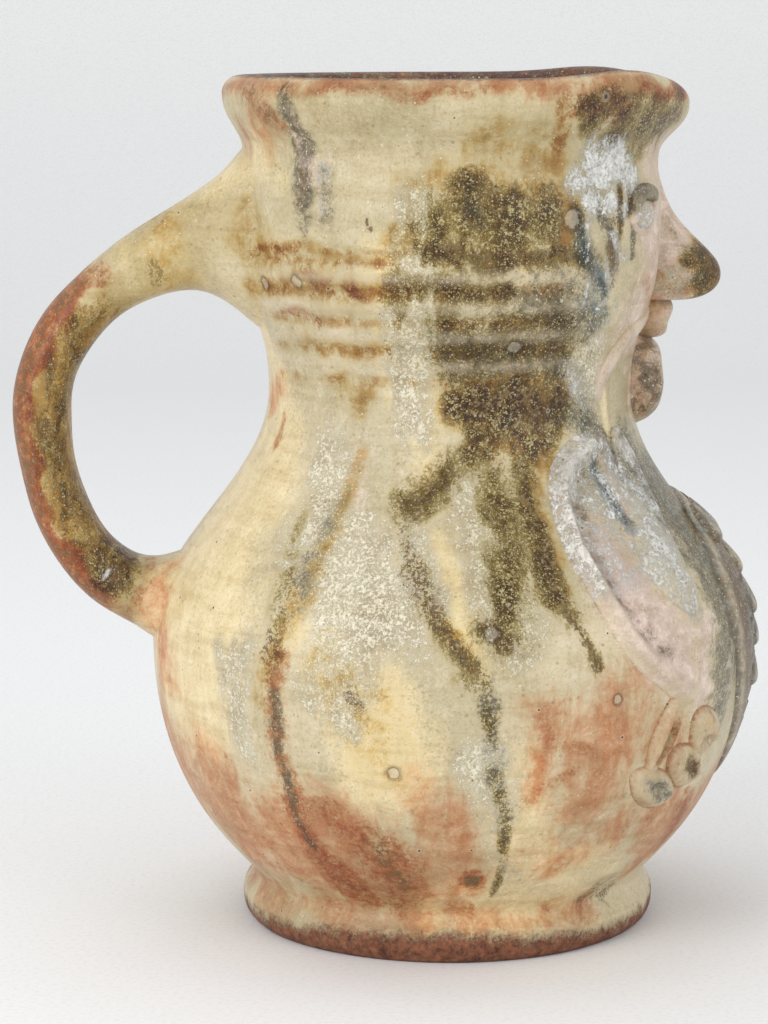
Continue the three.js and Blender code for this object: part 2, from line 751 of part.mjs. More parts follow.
const pitcher = new THREE.Group();
pitcher.name = 'owl_pitcher';
pitcher.add(
  piece('vessel', thrownVessel(), 'ash'),
  piece('handle', pulledHandle(), 'iron'),
  piece('beak', hookedBeak(), 'olive'),
  piece('lower_beak', lowerBeak(), 'pink'),
  piece('throat_flap', throatFlap(), 'clay'),
  ...pair('eye_ring', eyeRing(), 'blue'),
  ...pair('eyeball', eyeball(), 'blue'),
  ...pair('face_ridge', faceRidge(), 'pink'),
  ...pair('wing', wing(), 'pink'),
  ...pair('wing_feather', wingFeather(), 'blue'),
  piece('breast_panel', breastPanel(), 'grey'),
);
pelletRowCounts.forEach((count, row) => {
  for (let column = 0; column < count; column++) {
    pitcher.add(piece(`breast_pellet_${row + 1}_${column + 1}`, featherPellet(row, column, count), 'grey'));
  }
});
for (const [name, form] of Object.entries(toes)) pitcher.add(...pair(name, toe(form), 'clay'));

export default pitcher;
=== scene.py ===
# %% [markdown]
# # An owl pitcher in wood-fired stoneware
# The real jug is thrown on a wheel, given a pulled handle, and dressed with an owl in applied clay:
# eyes, a hooked beak, a throat flap, wings, a breast and feet. A wood firing covers it with ash
# glaze that runs in cream, olive, amber, grey-blue and salmon over a red-brown body.
# The CAD model is loaded first as a fixed frame. Each of its nodes is then replaced by a finer
# surface on the same wall, and one glaze is laid over all of them as a function of place, so that
# colours run across the joints as they do on the real jug.

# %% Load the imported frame
import bpy
import numpy as np
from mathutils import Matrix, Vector


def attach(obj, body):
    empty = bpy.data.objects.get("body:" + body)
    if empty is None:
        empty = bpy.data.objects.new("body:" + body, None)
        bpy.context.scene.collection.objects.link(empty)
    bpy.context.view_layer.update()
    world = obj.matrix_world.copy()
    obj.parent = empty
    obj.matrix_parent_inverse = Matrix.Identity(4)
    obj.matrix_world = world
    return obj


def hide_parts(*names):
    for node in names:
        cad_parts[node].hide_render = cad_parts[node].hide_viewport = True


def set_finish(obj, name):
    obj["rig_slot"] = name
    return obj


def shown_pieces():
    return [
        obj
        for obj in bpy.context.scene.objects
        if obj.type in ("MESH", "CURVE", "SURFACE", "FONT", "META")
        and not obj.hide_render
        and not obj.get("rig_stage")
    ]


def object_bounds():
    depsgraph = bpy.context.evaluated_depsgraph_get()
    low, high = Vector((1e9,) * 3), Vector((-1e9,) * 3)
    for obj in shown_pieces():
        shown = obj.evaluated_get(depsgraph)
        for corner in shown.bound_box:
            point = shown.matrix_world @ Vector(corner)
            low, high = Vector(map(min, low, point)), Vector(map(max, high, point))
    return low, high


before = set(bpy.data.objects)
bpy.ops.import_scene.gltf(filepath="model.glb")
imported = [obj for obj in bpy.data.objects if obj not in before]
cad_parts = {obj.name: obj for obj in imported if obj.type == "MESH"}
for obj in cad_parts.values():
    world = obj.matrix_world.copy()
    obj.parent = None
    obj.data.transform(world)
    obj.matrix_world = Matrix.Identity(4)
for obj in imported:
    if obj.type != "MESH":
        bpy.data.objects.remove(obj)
cad_box = [list(corner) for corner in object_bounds()]
print("CAD box, m:", cad_box)

# %% [markdown]
# ## Camera, light and floor
# The photograph looks at the jug's right side from a little above, with a long lens. The camera
# could be placed by eye, but its place was worked out from the jug's outline: 860 mm from the
# throwing axis, turned slightly left so that the axis stands right of the picture's middle.
# The light is that of a plain studio: big soft lamps and a pale room. Small lamps would burn
# hard spots into a glossy glaze.

# %% Camera
def turned(azimuth, up=0.0):
    """A direction: azimuth degrees from +X towards +Y, and up degrees above the horizon."""
    a, e = np.radians(azimuth), np.radians(up)
    return Vector((np.cos(a) * np.cos(e), np.sin(a) * np.cos(e), np.sin(e)))


camera = bpy.data.objects.new("camera", bpy.data.cameras.new("camera"))
bpy.context.scene.collection.objects.link(camera)
bpy.context.scene.camera = camera
camera.data.lens = 110.7
camera.data.sensor_width = 36
camera.location = turned(-94) * 0.860 + Vector((0, 0, 0.246))
looks_along = turned(86 + 1.19, -8.85)
camera.rotation_euler = looks_along.to_track_quat("-Z", "Y").to_euler()
print("camera at", [round(c, 3) for c in camera.location])

# %% Lamps and room
def softbox(name, place, aim, width, power, tint=(1, 1, 1)):
    """A square area lamp of that width in metres, placed and aimed, with a plain colour."""
    lamp = bpy.data.lights.new(name, "AREA")
    lamp.size, lamp.energy, lamp.color = width, power, tint
    holder = bpy.data.objects.new(name, lamp)
    holder.location = place
    holder.rotation_euler = (Vector(aim) - Vector(place)).to_track_quat("-Z", "Y").to_euler()
    bpy.context.scene.collection.objects.link(holder)


softbox("left_softbox", (-1.25, -1.1, 0.8), (0, 0, 0.12), 0.9, 14)
softbox("right_softbox", (1.1, -1.1, 0.6), (0, 0, 0.12), 0.9, 6)
softbox("top_softbox", (-0.2, 0.3, 1.5), (0, 0, 0.1), 1.0, 4)

world = bpy.data.worlds.new("room")
bpy.context.scene.world = world
world.use_nodes = True
world.node_tree.nodes["Background"].inputs["Color"].default_value = (0.935, 0.935, 0.94, 1)
world.node_tree.nodes["Background"].inputs["Strength"].default_value = 0.76
bpy.context.scene.view_settings.view_transform = "Standard"

# %% [markdown]
# ## Putting a computed surface into a mesh
# Every piece here is a grid of points worked out with numpy: rows of loops, closed at a pole at
# each end, or a ring that meets itself. One helper turns such a grid into a mesh with foreach_set,
# which takes whole arrays. It also measures the volume: where that is negative, the faces point
# inwards, and their order is reversed.

# %% Grid to mesh
def flattened(grid, is_ring):
    """Rows of loops as one list of points: each pole row counts once, unless the grid is a ring."""
    if is_ring:
        return grid.reshape(-1, grid.shape[-1])
    return np.vstack([grid[:1, 0], grid[1:-1].reshape(-1, grid.shape[-1]), grid[-1:, 0]])


def faces_of(rows, sides, is_ring):
    """Corner numbers of the quads between the loops, and of the triangles round the poles."""
    if is_ring:
        here = np.arange(rows * sides).reshape(rows, sides)
        below = np.roll(here, -1, axis=0)
        tips = np.empty((0, 3), int)
    else:
        loops = 1 + np.arange((rows - 2) * sides).reshape(rows - 2, sides)
        here, below = loops[:-1], loops[1:]
        first, last = loops[0], loops[-1]
        end = (rows - 2) * sides + 1
        tips = np.vstack([
            np.stack([np.zeros(sides, int), np.roll(first, -1), first], 1),
            np.stack([np.full(sides, end), last, np.roll(last, -1)], 1),
        ])
    quads = np.stack([here, np.roll(here, -1, 1), np.roll(below, -1, 1), below], -1).reshape(-1, 4)
    return quads, tips


def volume_inside(points, quads, tips):
    """Six-fold volume: the sum of a . (b x c) over all triangles, positive where faces point out."""
    triangles = np.vstack([quads[:, [0, 1, 2]], quads[:, [0, 2, 3]], tips])
    a, b, c = (points[triangles[:, k]] for k in range(3))
    return float(np.sum(a * np.cross(b, c)))


def mesh_from(name, grid, is_ring=False):
    """A smooth closed mesh object from a grid of points in millimetres."""
    rows, sides = grid.shape[:2]
    points = flattened(grid, is_ring)
    quads, tips = faces_of(rows, sides, is_ring)
    if volume_inside(points, quads, tips) < 0:
        quads, tips = quads[:, ::-1], tips[:, ::-1]
    mesh = bpy.data.meshes.new(name)
    mesh.vertices.add(len(points))
    mesh.vertices.foreach_set("co", (points / 1000).ravel())
    corners = np.concatenate([quads.ravel(), tips.ravel()])
    starts = np.concatenate([np.arange(len(quads)) * 4, len(quads) * 4 + np.arange(len(tips)) * 3])
    mesh.loops.add(len(corners))
    mesh.loops.foreach_set("vertex_index", corners.astype(np.int32))
    mesh.polygons.add(len(starts))
    mesh.polygons.foreach_set("loop_start", starts.astype(np.int32))
    mesh.polygons.foreach_set("use_smooth", np.ones(len(starts), bool))
    mesh.update(calc_edges=True)
    mesh.validate()
    piece = bpy.data.objects.new(name, mesh)
    bpy.context.scene.collection.objects.link(piece)
    return piece


# %% [markdown]
# ## The thrown wall
# A thrown form is a curve turned about an axis, so the wall is a radius for every level, taken
# from seven Bezier curves. A Screw modifier could turn the curve, but the applied pieces need to
# know where the wall is under them. So the wall is a function of azimuth and level that every
# piece uses. The hand shows in it too: throwing rings on the neck, a slight wobble, and the rim
# pulled out and pressed down for the lip.

# %% Outline of the wall
def bezier(p0, p1, p2, p3, count=80):
    """The four points weighted by (1-t)^3, 3(1-t)^2 t, 3(1-t)t^2 and t^3, for t from 0 to 1."""
    t = np.linspace(0, 1, count)[:, None]
    weights = np.hstack([(1 - t) ** 3, 3 * (1 - t) ** 2 * t, 3 * (1 - t) * t**2, t**3])
    return weights @ np.array([p0, p1, p2, p3], float)


# Levels of the widest belly, the waist of the neck, the collar and the middle of the rim's bead.
BELLY, NECK, COLLAR, RIM = 79.0, 147.1, 195.0, 226.8
BEAD, WALL, FLOOR = 5.0, 5.5, 8.0  # radius of the bead, thickness of the wall, height of the floor
outline = np.vstack([
    bezier((54.9, 0), (56.9, 1.2), (57.3, 3), (57.3, 6)),
    bezier((57.3, 6), (57.3, 9.75), (53.75, 11.05), (54.6, 13.5)),
    bezier((54.6, 13.5), (56.3, 18.4), (81.6, 33.3), (81.6, BELLY)),
    bezier((81.6, BELLY), (81.6, 105.4), (49.8, 121.1), (49.8, NECK)),
    bezier((49.8, NECK), (49.8, 167.8), (57.6, 165.5), (57.6, COLLAR)),
    bezier((57.6, COLLAR), (57.6, 200.3), (56.6, 206.4), (56.6, 211.7)),
    bezier((56.6, 211.7), (56.6, 217), (62.1, 220), (62.1, RIM)),
])


def thrown_radius(level):
    """Radius of the wall at a level, read off the outline, which only ever climbs."""
    return np.interp(level, outline[:, 1], outline[:, 0])


def slope_at(level):
    """Millimetres by which the wall widens for each millimetre up."""
    return thrown_radius(level + 0.5) - thrown_radius(level - 0.5)


def mm_per_degree(level):
    """Millimetres along the wall for a degree of azimuth: the radius times pi / 180."""
    return np.radians(1) * thrown_radius(level)


def rise(value, low, high):
    """0 below low, 1 above high, and 3t^2 - 2t^3 between them."""
    t = np.clip((value - low) / (high - low), 0, 1)
    return t * t * (3 - 2 * t)


def bell(value, width):
    """A bump of height 1 at 0: e to the minus (value / width) squared."""
    return np.exp(-((value / width) ** 2))


print("belly radius", thrown_radius(BELLY), "neck radius", thrown_radius(NECK))

# %% Rings, wobble and lip
# Levels of the grooves between the throwing rings, and how deep each is, in millimetres.
grooves = [(202, 0.3), (194.4, 0.35), (186.3, 0.7), (178, 0.8), (170, 0.8), (162.2, 0.7),
           (154.2, 0.4), (124, 0.2), (112, 0.15)]


def ring_height(azimuth, level):
    """Minus a bell at each groove, which climbs 1.5 mm in a turn, faded under face and handle."""
    away = np.abs(azimuth)
    shown = rise(away, 46, 62) * (1 - rise(away, 150, 168))
    tilt = 1.5 * azimuth / 180
    dips = sum(depth * bell(level - at - tilt, 2.1) for at, depth in grooves)
    return 0.45 - dips * shown - 0.45 * (1 - shown)


def wobble(azimuth, level):
    """Slow waves round the wall, under half a millimetre, as a hand leaves them."""
    a = np.radians(azimuth)
    return (0.22 * np.sin(2 * a + 0.7 + level / 60) + 0.14 * np.sin(3 * a - level / 37)
            + 0.08 * np.sin(7 * a + level / 19) - 0.2)


def lip_warp(azimuth, level):
    """(pull, lift): the rim drawn forward at the face, dipped there, and raised on both sides."""
    share = rise(level, RIM - 20, RIM)
    shoulder = 1.8 * bell(np.abs(azimuth) - 42, 18)
    return share * 3.2 * bell(azimuth, 30), share * (shoulder - 3 * bell(azimuth, 18))


def on_wall(azimuth, level, out=0.0):
    """The point at a height out, square to the outer wall, in millimetres."""
    azimuth, level, out = np.broadcast_arrays(azimuth, level, out)
    slope = slope_at(level)
    length = np.hypot(1, slope)
    pull, lift = lip_warp(azimuth, level)
    radius = thrown_radius(level) + ring_height(azimuth, level) + wobble(azimuth, level) + pull
    reach = radius + out / length
    a = np.radians(azimuth)
    return np.stack([reach * np.cos(a), reach * np.sin(a), level - out * slope / length + lift], -1)


print("wall in front at the rim:", on_wall(0.0, RIM).round(1))

# %% [markdown]
# ## One glaze over every piece
# On the real jug the ash glaze melted after the owl was on, so its runs ignore the joints. A
# texture could be painted on, but then each piece would need its own. Here the glaze is a list
# of strokes on the unrolled wall, each of one colour through points of azimuth, level and half
# width. The strength of each colour at a point depends only on where the point is. It goes into
# colour attributes, and the material breaks its edges up later, where the grain can be finer than
# the mesh.

# %% Colours of the glaze
# Five colour attributes, with a glaze or a trait of the surface in each of their channels. The edge
# channel carries a painted highlight on ridges and crests, and the pool channel also carries painted
# shade in some creases and dents.
LAYERS = {
    "wash": ["cream", "salmon", "frost"],
    "run": ["olive", "amber", "iron"],
    "splash": ["slate", "white", "pink"],
    "form": ["pool", "edge", "bare"],
    "film": ["veil", "crust", "blue"],
}
# The strokes of each glaze: softness of the edge, strength, then azimuth, level and half width
# of the points. Azimuths grow from the face towards the handle, on the owl's right side.
strokes = {
    # Cream and yellow ash: the belly below the handle, the shoulder column and the low runs.
    "cream": [
        (24, 1.0, [(170, 160, 8), (158, 120, 22), (152, 74, 20)]),
        (16, 0.9, [(112, 188, 4), (107, 168, 8), (104, 148, 8), (100, 132, 4)]),
        (16, 1.0, [(118, 90, 8), (109, 74, 12), (106, 57, 11)]),
        (7, 0.9, [(97, 114, 1.6), (93, 104, 2.6), (91, 94, 2.6), (88, 84, 1.6)]),
        (3, 0.95, [(75.5, 206, 1.0), (74, 190, 1.3), (75, 170, 1.5)]),
        (14, 0.7, [(84, 60, 6), (76, 32, 9), (60, 22, 12), (96, 14, 9)]),
        (4, 0.9, [(39, 151, 1.2), (38.5, 142, 2), (38, 132, 1.8), (36.5, 123, 1.2)]),
        (12, 0.7, [(172, 205, 6), (150, 212, 6)]),
        (9, 0.8, [(150, 218, 3), (146, 206, 3)]),
        (9, 0.6, [(47, 106, 2), (46, 101, 2)]),
    ],
    # Salmon: thin glaze over the clay, low on the belly and at the right by the feet.
    "salmon": [
        (14, 0.5, [(50, 62, 8), (46, 48, 8)]),
        (26, 1.0, [(176, 60, 8), (160, 46, 16), (140, 32, 15), (118, 28, 16), (100, 28, 12)]),
        (18, 0.8, [(174, 94, 5), (162, 74, 10)]),
        (16, 1.0, [(120, 46, 6), (112, 36, 9)]),
        (14, 0.95, [(98, 56, 3), (95, 40, 8), (93, 22, 7)]),
        (22, 0.75, [(76, 74, 5), (70, 64, 9), (68, 46, 9), (60, 74, 7), (56, 86, 3)]),
        (14, 0.7, [(74, 34, 7), (58, 36, 8)]),
        (14, 0.9, [(44, 38, 9), (36, 28, 8), (18, 40, 10), (0, 30, 9)]),
        (9, 0.6, [(170, 146, 4), (158, 150, 5)]),
        (14, 0.6, [(168, 216, 5), (148, 218, 6)]),
        (8, 0.9, [(180, 230, 2.6), (120, 230.5, 2.6), (60, 230, 3), (0, 228, 3)]),
        (12, 0.9, [(180, 12, 3), (150, 12, 5), (120, 12, 6), (92, 12, 4), (50, 10, 3)]),
    ],
    # Frost: grey-white crystals where the ash lay thick and cooled slowly.
    "frost": [
        (24, 0.95, [(132, 136, 5), (122, 112, 12), (110, 98, 14), (113, 84, 9)]),
        (10, 0.9, [(138, 84, 4), (136, 58, 2)]),
        (10, 0.9, [(114, 76, 5), (112, 66, 3)]),
        (7, 0.95, [(102, 122, 2), (99, 108, 2.2), (95, 97, 2)]),
        (14, 0.8, [(104, 200, 6), (104, 186, 8), (106, 166, 8), (104, 146, 8)]),
        (12, 0.7, [(90, 122, 6), (84, 106, 7), (80, 92, 6)]),
        (12, 0.7, [(60, 130, 6), (54, 118, 6)]),
        (12, 0.8, [(56, 168, 6), (46, 158, 7), (46, 148, 6)]),
        (12, 0.7, [(88, 62, 4), (84, 44, 4)]),
        (14, 0.5, [(92, 168, 8), (74, 160, 10)]),
    ],
    # Olive: the wet green-brown runs of the neck, the shoulder patch and its columns.
    "olive": [
        (16, 0.9, [(97, 195, 5), (84, 195, 9), (70, 196, 7)]),
        (9, 0.95, [(91, 204, 2.4), (84, 203, 3.4), (79, 198, 3)]),
        (7, 1.0, [(100, 187.5, 2.4), (90, 187, 3.4), (80, 186, 3)]),
        (7, 0.95, [(75, 187, 3), (63, 185, 3), (56, 185, 1.5)]),
        (6, 0.9, [(105, 178, 2), (91, 178.5, 3), (79, 178, 2.6)]),
        (16, 0.6, [(97, 165, 7), (80, 163, 10), (58, 162, 8)]),
        (12, 1.0, [(91, 149, 4), (78, 147, 7), (64, 147, 7), (57, 149, 3)]),
        (9, 0.9, [(88, 140, 2), (74, 138, 4), (64, 139, 3)]),
        (12, 0.9, [(104, 124, 3.4), (98, 128, 4.4), (92, 132, 4.4), (86, 136, 4), (76, 138, 3)]),
        (8, 1.0, [(74, 134, 3), (74, 120, 2.6), (74, 110, 2.4), (72, 102, 2), (70, 95, 1.2)]),
        (3.5, 0.9, [(71, 98, 1.2), (68, 89, 0.9), (66, 82, 0.7)]),
        (11, 0.9, [(82, 128, 4), (80.5, 115, 4.6), (82, 103, 4.2), (83, 93, 3.6)]),
        (6, 0.95, [(87, 94, 2), (83, 91, 2)]),
        (9, 0.42, [(102, 110, 1.4), (98, 98, 2), (94, 92, 2), (88, 82, 1)]),
        (10, 0.35, [(90, 82, 3), (87, 76, 3)]),
        (10, 0.32, [(132, 118, 1), (129, 102, 2), (128, 84, 2)]),
        (4, 0.5, [(87, 78, 1.4), (86, 64, 1.8), (84, 48, 1.4), (82, 30, 0.9), (82, 20, 0.5)]),
        # The two strokes at the rim beside the face are partly the lip's own grey-green glaze and partly
        # painted shade.
        (14, 0.6, [(54, 221, 5), (46, 220, 5), (20, 220, 8)]),
        (7, 0.8, [(60, 226, 2), (52, 225, 3), (46, 223, 2)]),
        (3.5, 0.9, [(43, 204, 0.7), (42, 196, 1), (45, 188, 0.8)]),
        (3.5, 0.8, [(38, 205, 0.6), (39, 198, 0.8)]),
        (12, 0.35, [(108, 178, 5), (108, 160, 4)]),
    ],
    # Amber: where the olive thins over the clay.
    "amber": [
        (18, 0.55, [(88, 214, 4), (76, 216, 6), (68, 211, 6)]),
        (9, 1.0, [(66, 204, 2), (61, 196, 4), (64, 187, 3)]),
        (18, 0.6, [(94, 206, 4), (78, 205, 6), (68, 200, 6)]),
        (10, 1.0, [(86, 138, 3), (72, 139, 5), (65, 135, 4), (63, 129, 2)]),
        (8, 0.9, [(72, 130, 2), (71, 114, 1.8), (70, 100, 1.2)]),
        (14, 1.0, [(92, 150, 5), (78, 147, 9), (64, 147, 8), (57, 150, 4)]),
        (7, 0.9, [(66, 226, 2.2), (65, 214, 2), (64, 204, 1.5)]),
        (9, 0.7, [(128, 153, 4), (120, 148, 4)]),
        (10, 0.5, [(107, 207, 2), (98, 205, 1.6)]),
        (9, 0.6, [(108, 191, 4), (100, 189, 3)]),
        (14, 0.5, [(136, 180, 6), (118, 178, 6)]),
        (12, 0.5, [(160, 192, 6), (150, 184, 6)]),
        (6, 0.8, [(94, 94, 1.6), (91, 89, 1.4)]),
        (20, 0.28, [(117, 88, 6), (109, 74, 9), (106, 60, 8)]),
        (6, 0.8, [(160, 188, 1.2), (146, 187.6, 1.8), (126, 186.5, 1.2), (106, 187, 1)]),
        (8, 0.8, [(160, 177, 1.6), (138, 179, 2.4), (120, 179, 3), (104, 179, 2)]),
        (8, 0.7, [(140, 162.5, 1.8), (112, 162, 2)]),
        (8, 0.6, [(120, 133, 1.5), (122, 114, 2), (124, 99, 2.4), (128, 87, 2), (130, 73, 1.2)]),
    ],
    # Iron: rust between the rings, rusty patches under the rim, and the long iron streak.
    "iron": [
        (7, 0.55, [(158, 188, 1), (146, 187.6, 1.4), (136, 187, 0.8)]),
        (7, 0.5, [(138, 180, 2), (120, 179, 2.2)]),
        (4, 0.8, [(148, 170.5, 0.9), (134, 169, 1.2)]),
        (8, 0.75, [(158, 227, 1.6), (146, 224, 3), (140, 221, 2)]),
        (5, 0.5, [(132, 228.5, 1.2), (84, 228.5, 1.4)]),
        (10, 0.7, [(60, 226, 2.6), (52, 225, 4), (46, 222, 3)]),
        (7, 0.6, [(66, 228, 1.8), (65, 216, 1.6)]),
        (6, 0.85, [(40, 229, 1.4), (20, 228, 1.6), (0, 227, 1.5)]),
        (5, 0.9, [(155, 141, 1.2), (155, 134, 1.6)]),
        (6, 0.85, [(126, 88, 1), (127, 74, 2.2), (127, 60, 1.8), (126, 46, 2.6), (124, 34, 3),
                   (120, 20, 5)]),
        (16, 0.85, [(112, 38, 4), (107, 30, 7), (105, 20, 6)]),
        (10, 0.6, [(120, 44, 4), (112, 36, 3)]),
        (10, 0.8, [(124, 30, 3), (117, 20, 5)]),
        (2, 0.95, [(89, 24, 2.6), (87, 23, 2.8)]),
        (7, 0.6, [(104, 15, 1.2), (88, 14, 1.4)]),
        (8, 0.7, [(34, 40, 4), (30, 26, 3)]),
        (8, 0.4, [(28, 178, 2), (16, 172, 3), (6, 176, 2)]),
        (4, 0.8, [(46, 68, 0.9), (51, 56, 1.1)]),
        (8, 0.5, [(77, 72, 1.0), (74, 64, 1.6), (66, 60, 1.2)]),
        (5, 0.5, [(80, 46, 0.8), (76, 52, 1.0), (70, 56, 0.8)]),
    ],
    # Slate: grey streaks, bluer towards the face, from cobalt-bearing ash.
    "slate": [
        (10, 0.4, [(121, 130, 2), (124, 112, 2.6), (127, 94, 2.4)]),
        (9, 0.9, [(137, 228, 1.6), (135, 214, 3.6), (136, 204, 3.8), (135, 194, 1.4)]),
        (4, 0.7, [(134, 214, 0.8), (135, 200, 0.8), (134, 188, 0.5)]),
        (10, 0.4, [(129, 206, 4), (128, 196, 3)]),
        (3, 0.85, [(126.5, 78, 0.8), (127, 70, 1.3), (127, 60, 0.8), (126, 46, 1.2), (124, 32, 0.7)]),
        (7, 0.7, [(88, 203, 2), (88, 196, 2.2)]),
        (14, 0.8, [(74, 176, 4), (61, 173, 6), (50, 170, 4)]),
        (16, 0.5, [(95, 162, 5), (79, 160, 6), (60, 158, 5)]),
        (9, 0.36, [(104, 119, 1.4), (101, 108, 2), (98, 100, 2), (92, 90, 2), (87, 80, 1.8)]),
        (5, 0.55, [(87, 82, 2), (86, 66, 2), (84, 49, 1.5), (82, 31, 0.9), (82, 21, 0.5)]),
        (7, 0.9, [(60, 197, 1), (57, 188, 3.2), (52, 182, 3), (48, 178, 2)]),
        (12, 0.7, [(60, 146, 3), (50, 144, 5), (44, 136, 5), (34, 126, 6), (32, 108, 6)]),
        (4, 0.8, [(50, 136, 0.6), (49.5, 126, 1.6), (48, 117, 1.4)]),
        (14, 0.8, [(28, 136, 5), (26, 112, 8), (26, 88, 8), (30, 66, 5)]),
        (16, 1.0, [(12, 120, 12), (0, 96, 18), (0, 66, 13)]),
        (10, 0.4, [(52, 13, 5), (44, 16, 4)]),
        (4, 0.9, [(39, 206, 1.4), (36, 196, 1.2), (37, 184, 1.2)]),
        (5, 1.0, [(52, 200, 1), (47, 191, 2), (45, 181, 1.6)]),
    ],
    # Blue: cobalt in the ash, in the drips beside the eye and in dashes on the wing.
    "blue": [
        (5, 0.9, [(60, 197, 1), (57, 188, 2.4), (52, 182, 2.4), (48, 178, 1.6)]),
        (10, 0.5, [(56, 177, 3), (49, 173, 4), (44, 171, 3)]),
        (6, 1.0, [(51, 138, 1), (50.5, 127, 2.4), (48.5, 116, 2.4)]),
        (12, 0.45, [(56, 146, 3), (48, 140, 4), (42, 130, 5), (36, 118, 4)]),
        (22, 0.42, [(24, 132, 8), (18, 104, 10), (16, 74, 8)]),
        (8, 0.4, [(88, 202, 2.4), (88, 196, 2)]),
        (8, 0.28, [(129, 206, 3), (128, 197, 2.4)]),
    ],
    # Veil: a thin even film of grey-green ash, over the collar, the foot and the handle's root.
    "veil": [
        # The two strokes round the rim are partly the lip's own grey-green film and partly painted shade.
        (30, 0.9, [(172, 221, 10), (120, 222, 12), (60, 221, 12), (0, 218, 12)]),
        (9, 1.0, [(180, 229, 3), (120, 230, 3), (60, 229, 3), (0, 227, 3)]),
        (26, 0.55, [(142, 198, 12), (112, 202, 14), (80, 203, 12)]),
        (24, 0.7, [(92, 166, 14), (60, 163, 12)]),
        (20, 0.5, [(22, 212, 10), (12, 196, 10)]),
        (16, 0.7, [(34, 184, 6), (32, 166, 8), (20, 150, 8)]),
        (20, 0.6, [(86, 112, 8), (84, 90, 8)]),
        (20, 0.8, [(178, 190, 12), (160, 194, 10)]),
        (12, 0.4, [(180, 11, 4), (90, 11, 4), (0, 11, 4)]),
    ],
    # Crust: near-black flecks where the runs are thickest, and the lines that they leave.
    "crust": [
        (9, 0.56, [(105, 117, 1), (102, 106, 2.6), (98, 100, 2.6), (93, 91, 1.6), (88, 83, 1)]),
        (2, 1.0, [(115, 197.5, 0.5), (114.5, 195, 0.6)]),
        (6, 0.7, [(136, 208, 1.6), (137, 199, 1.2)]),
        (4, 0.75, [(71, 97, 0.9), (68, 88, 0.6), (66, 82, 0.5)]),
        (6, 0.75, [(86, 94, 1.8), (83, 92, 2)]),
        (12, 0.5, [(104, 123, 2), (99, 126, 3), (94, 130, 3)]),
        (9, 0.4, [(90, 148, 3), (66, 147, 5), (57, 150, 3)]),
        (9, 0.42, [(74, 130, 2), (73, 112, 2), (71, 100, 1.2)]),
        (9, 0.42, [(100, 187.5, 2.4), (76, 186.5, 3.4), (62, 185, 2)]),
        (9, 0.4, [(91, 204, 2.4), (82, 201, 3)]),
        (6, 0.5, [(152, 227, 1.2), (142, 222, 1.8)]),
        (3, 0.6, [(126.5, 78, 0.6), (127, 66, 0.4), (126, 46, 0.7), (124, 32, 0.3)]),
        (8, 0.55, [(108, 36, 2.6), (105, 25, 3)]),
        (2, 0.9, [(89, 23.5, 1.4), (87.5, 23, 1.6)]),
        (4, 0.7, [(43, 205, 1), (42, 196, 1.2), (47, 194, 0.8)]),
        (5, 0.7, [(47, 189, 1.2), (45, 180, 1.4)]),
        (5, 0.6, [(129, 90, 1.2), (130, 83, 1)]),
        (5, 0.6, [(112, 79, 1.4), (110, 72, 1)]),
        (14, 0.55, [(16, 116, 6), (10, 92, 8), (12, 64, 6)]),
        (5, 0.6, [(46, 15, 2), (40, 17, 1.4)]),
    ],
    # White: the splash beside the eye, and its drips.
    "white": [
        (10, 0.82, [(60, 204, 4), (52, 208, 7), (42, 210, 6), (36, 207, 4)]),
        (7, 0.8, [(55, 199, 3.5), (48, 200, 3.5), (42, 199, 2.4)]),
        (6, 0.75, [(46, 192, 2), (42, 186, 2.6)]),
        (3, 0.7, [(56, 194, 0.7), (54, 182, 0.8), (56, 174, 0.6)]),
        (3, 0.7, [(48, 186, 0.6), (46, 176, 0.8), (50, 173, 0.6)]),
        (12, 0.75, [(44, 114, 3), (41, 102, 4), (39, 94, 2)]),
        (10, 0.5, [(58, 158, 3), (50, 150, 4)]),
    ],
    # Pink: pale flesh-coloured ash round the face and over the wings.
    "pink": [
        (16, 0.75, [(24, 190, 12), (12, 188, 12), (30, 166, 9), (8, 160, 12), (14, 146, 7)]),
        (14, 1.0, [(58, 112, 4), (56, 98, 8), (50, 86, 8), (45, 76, 4)]),
        (10, 0.8, [(36, 88, 4), (40, 78, 4), (38, 68, 3)]),
        (8, 0.8, [(44, 162, 2.4), (42, 150, 3)]),
        (16, 0.4, [(122, 132, 5), (116, 116, 5)]),
        (14, 0.45, [(131, 208, 4), (128, 196, 3)]),
        (7, 0.7, [(136, 224, 2), (135, 212, 3.2), (136, 203, 3.4)]),
        (14, 0.7, [(22, 212, 8), (8, 206, 10)]),
    ],
}
print(sum(map(len, strokes.values())), "glaze strokes")

# %% Strength of every colour at a place
DEGREE = 1.15  # millimetres to a degree of azimuth, midway between neck and belly


def wandered(azimuth, level):
    """The place shifted by slow sine waves, so that no stroke has a drawn edge."""
    a, z = azimuth, level
    return (a + 0.35 * np.sin(z / 6.1 + a / 11) + 0.3 * np.sin(z / 2.9 - a / 5.3 + 1.7),
            z + 1.2 * np.sin(a / 5.7 + z / 15) + 0.7 * np.sin(a / 2.3 + z / 9 + 0.6))


def stroke(azimuth, level, points, softness):
    """1 inside the half width of a path, falling to 0 over the softness, by distance to the path."""
    best = np.full(azimuth.shape, -np.inf)
    for (a0, z0, w0), (a1, z1, w1) in zip(points[:-1], points[1:]):
        da, dz = DEGREE * (a1 - a0), z1 - z0
        pa, pz = DEGREE * (azimuth - a0), level - z0
        along = np.clip((pa * da + pz * dz) / (da * da + dz * dz), 0, 1)
        distance = np.hypot(pa - along * da, pz - along * dz)
        best = np.maximum(best, w0 + along * (w1 - w0) - distance)
    return rise(best, -softness / 2, softness / 2)


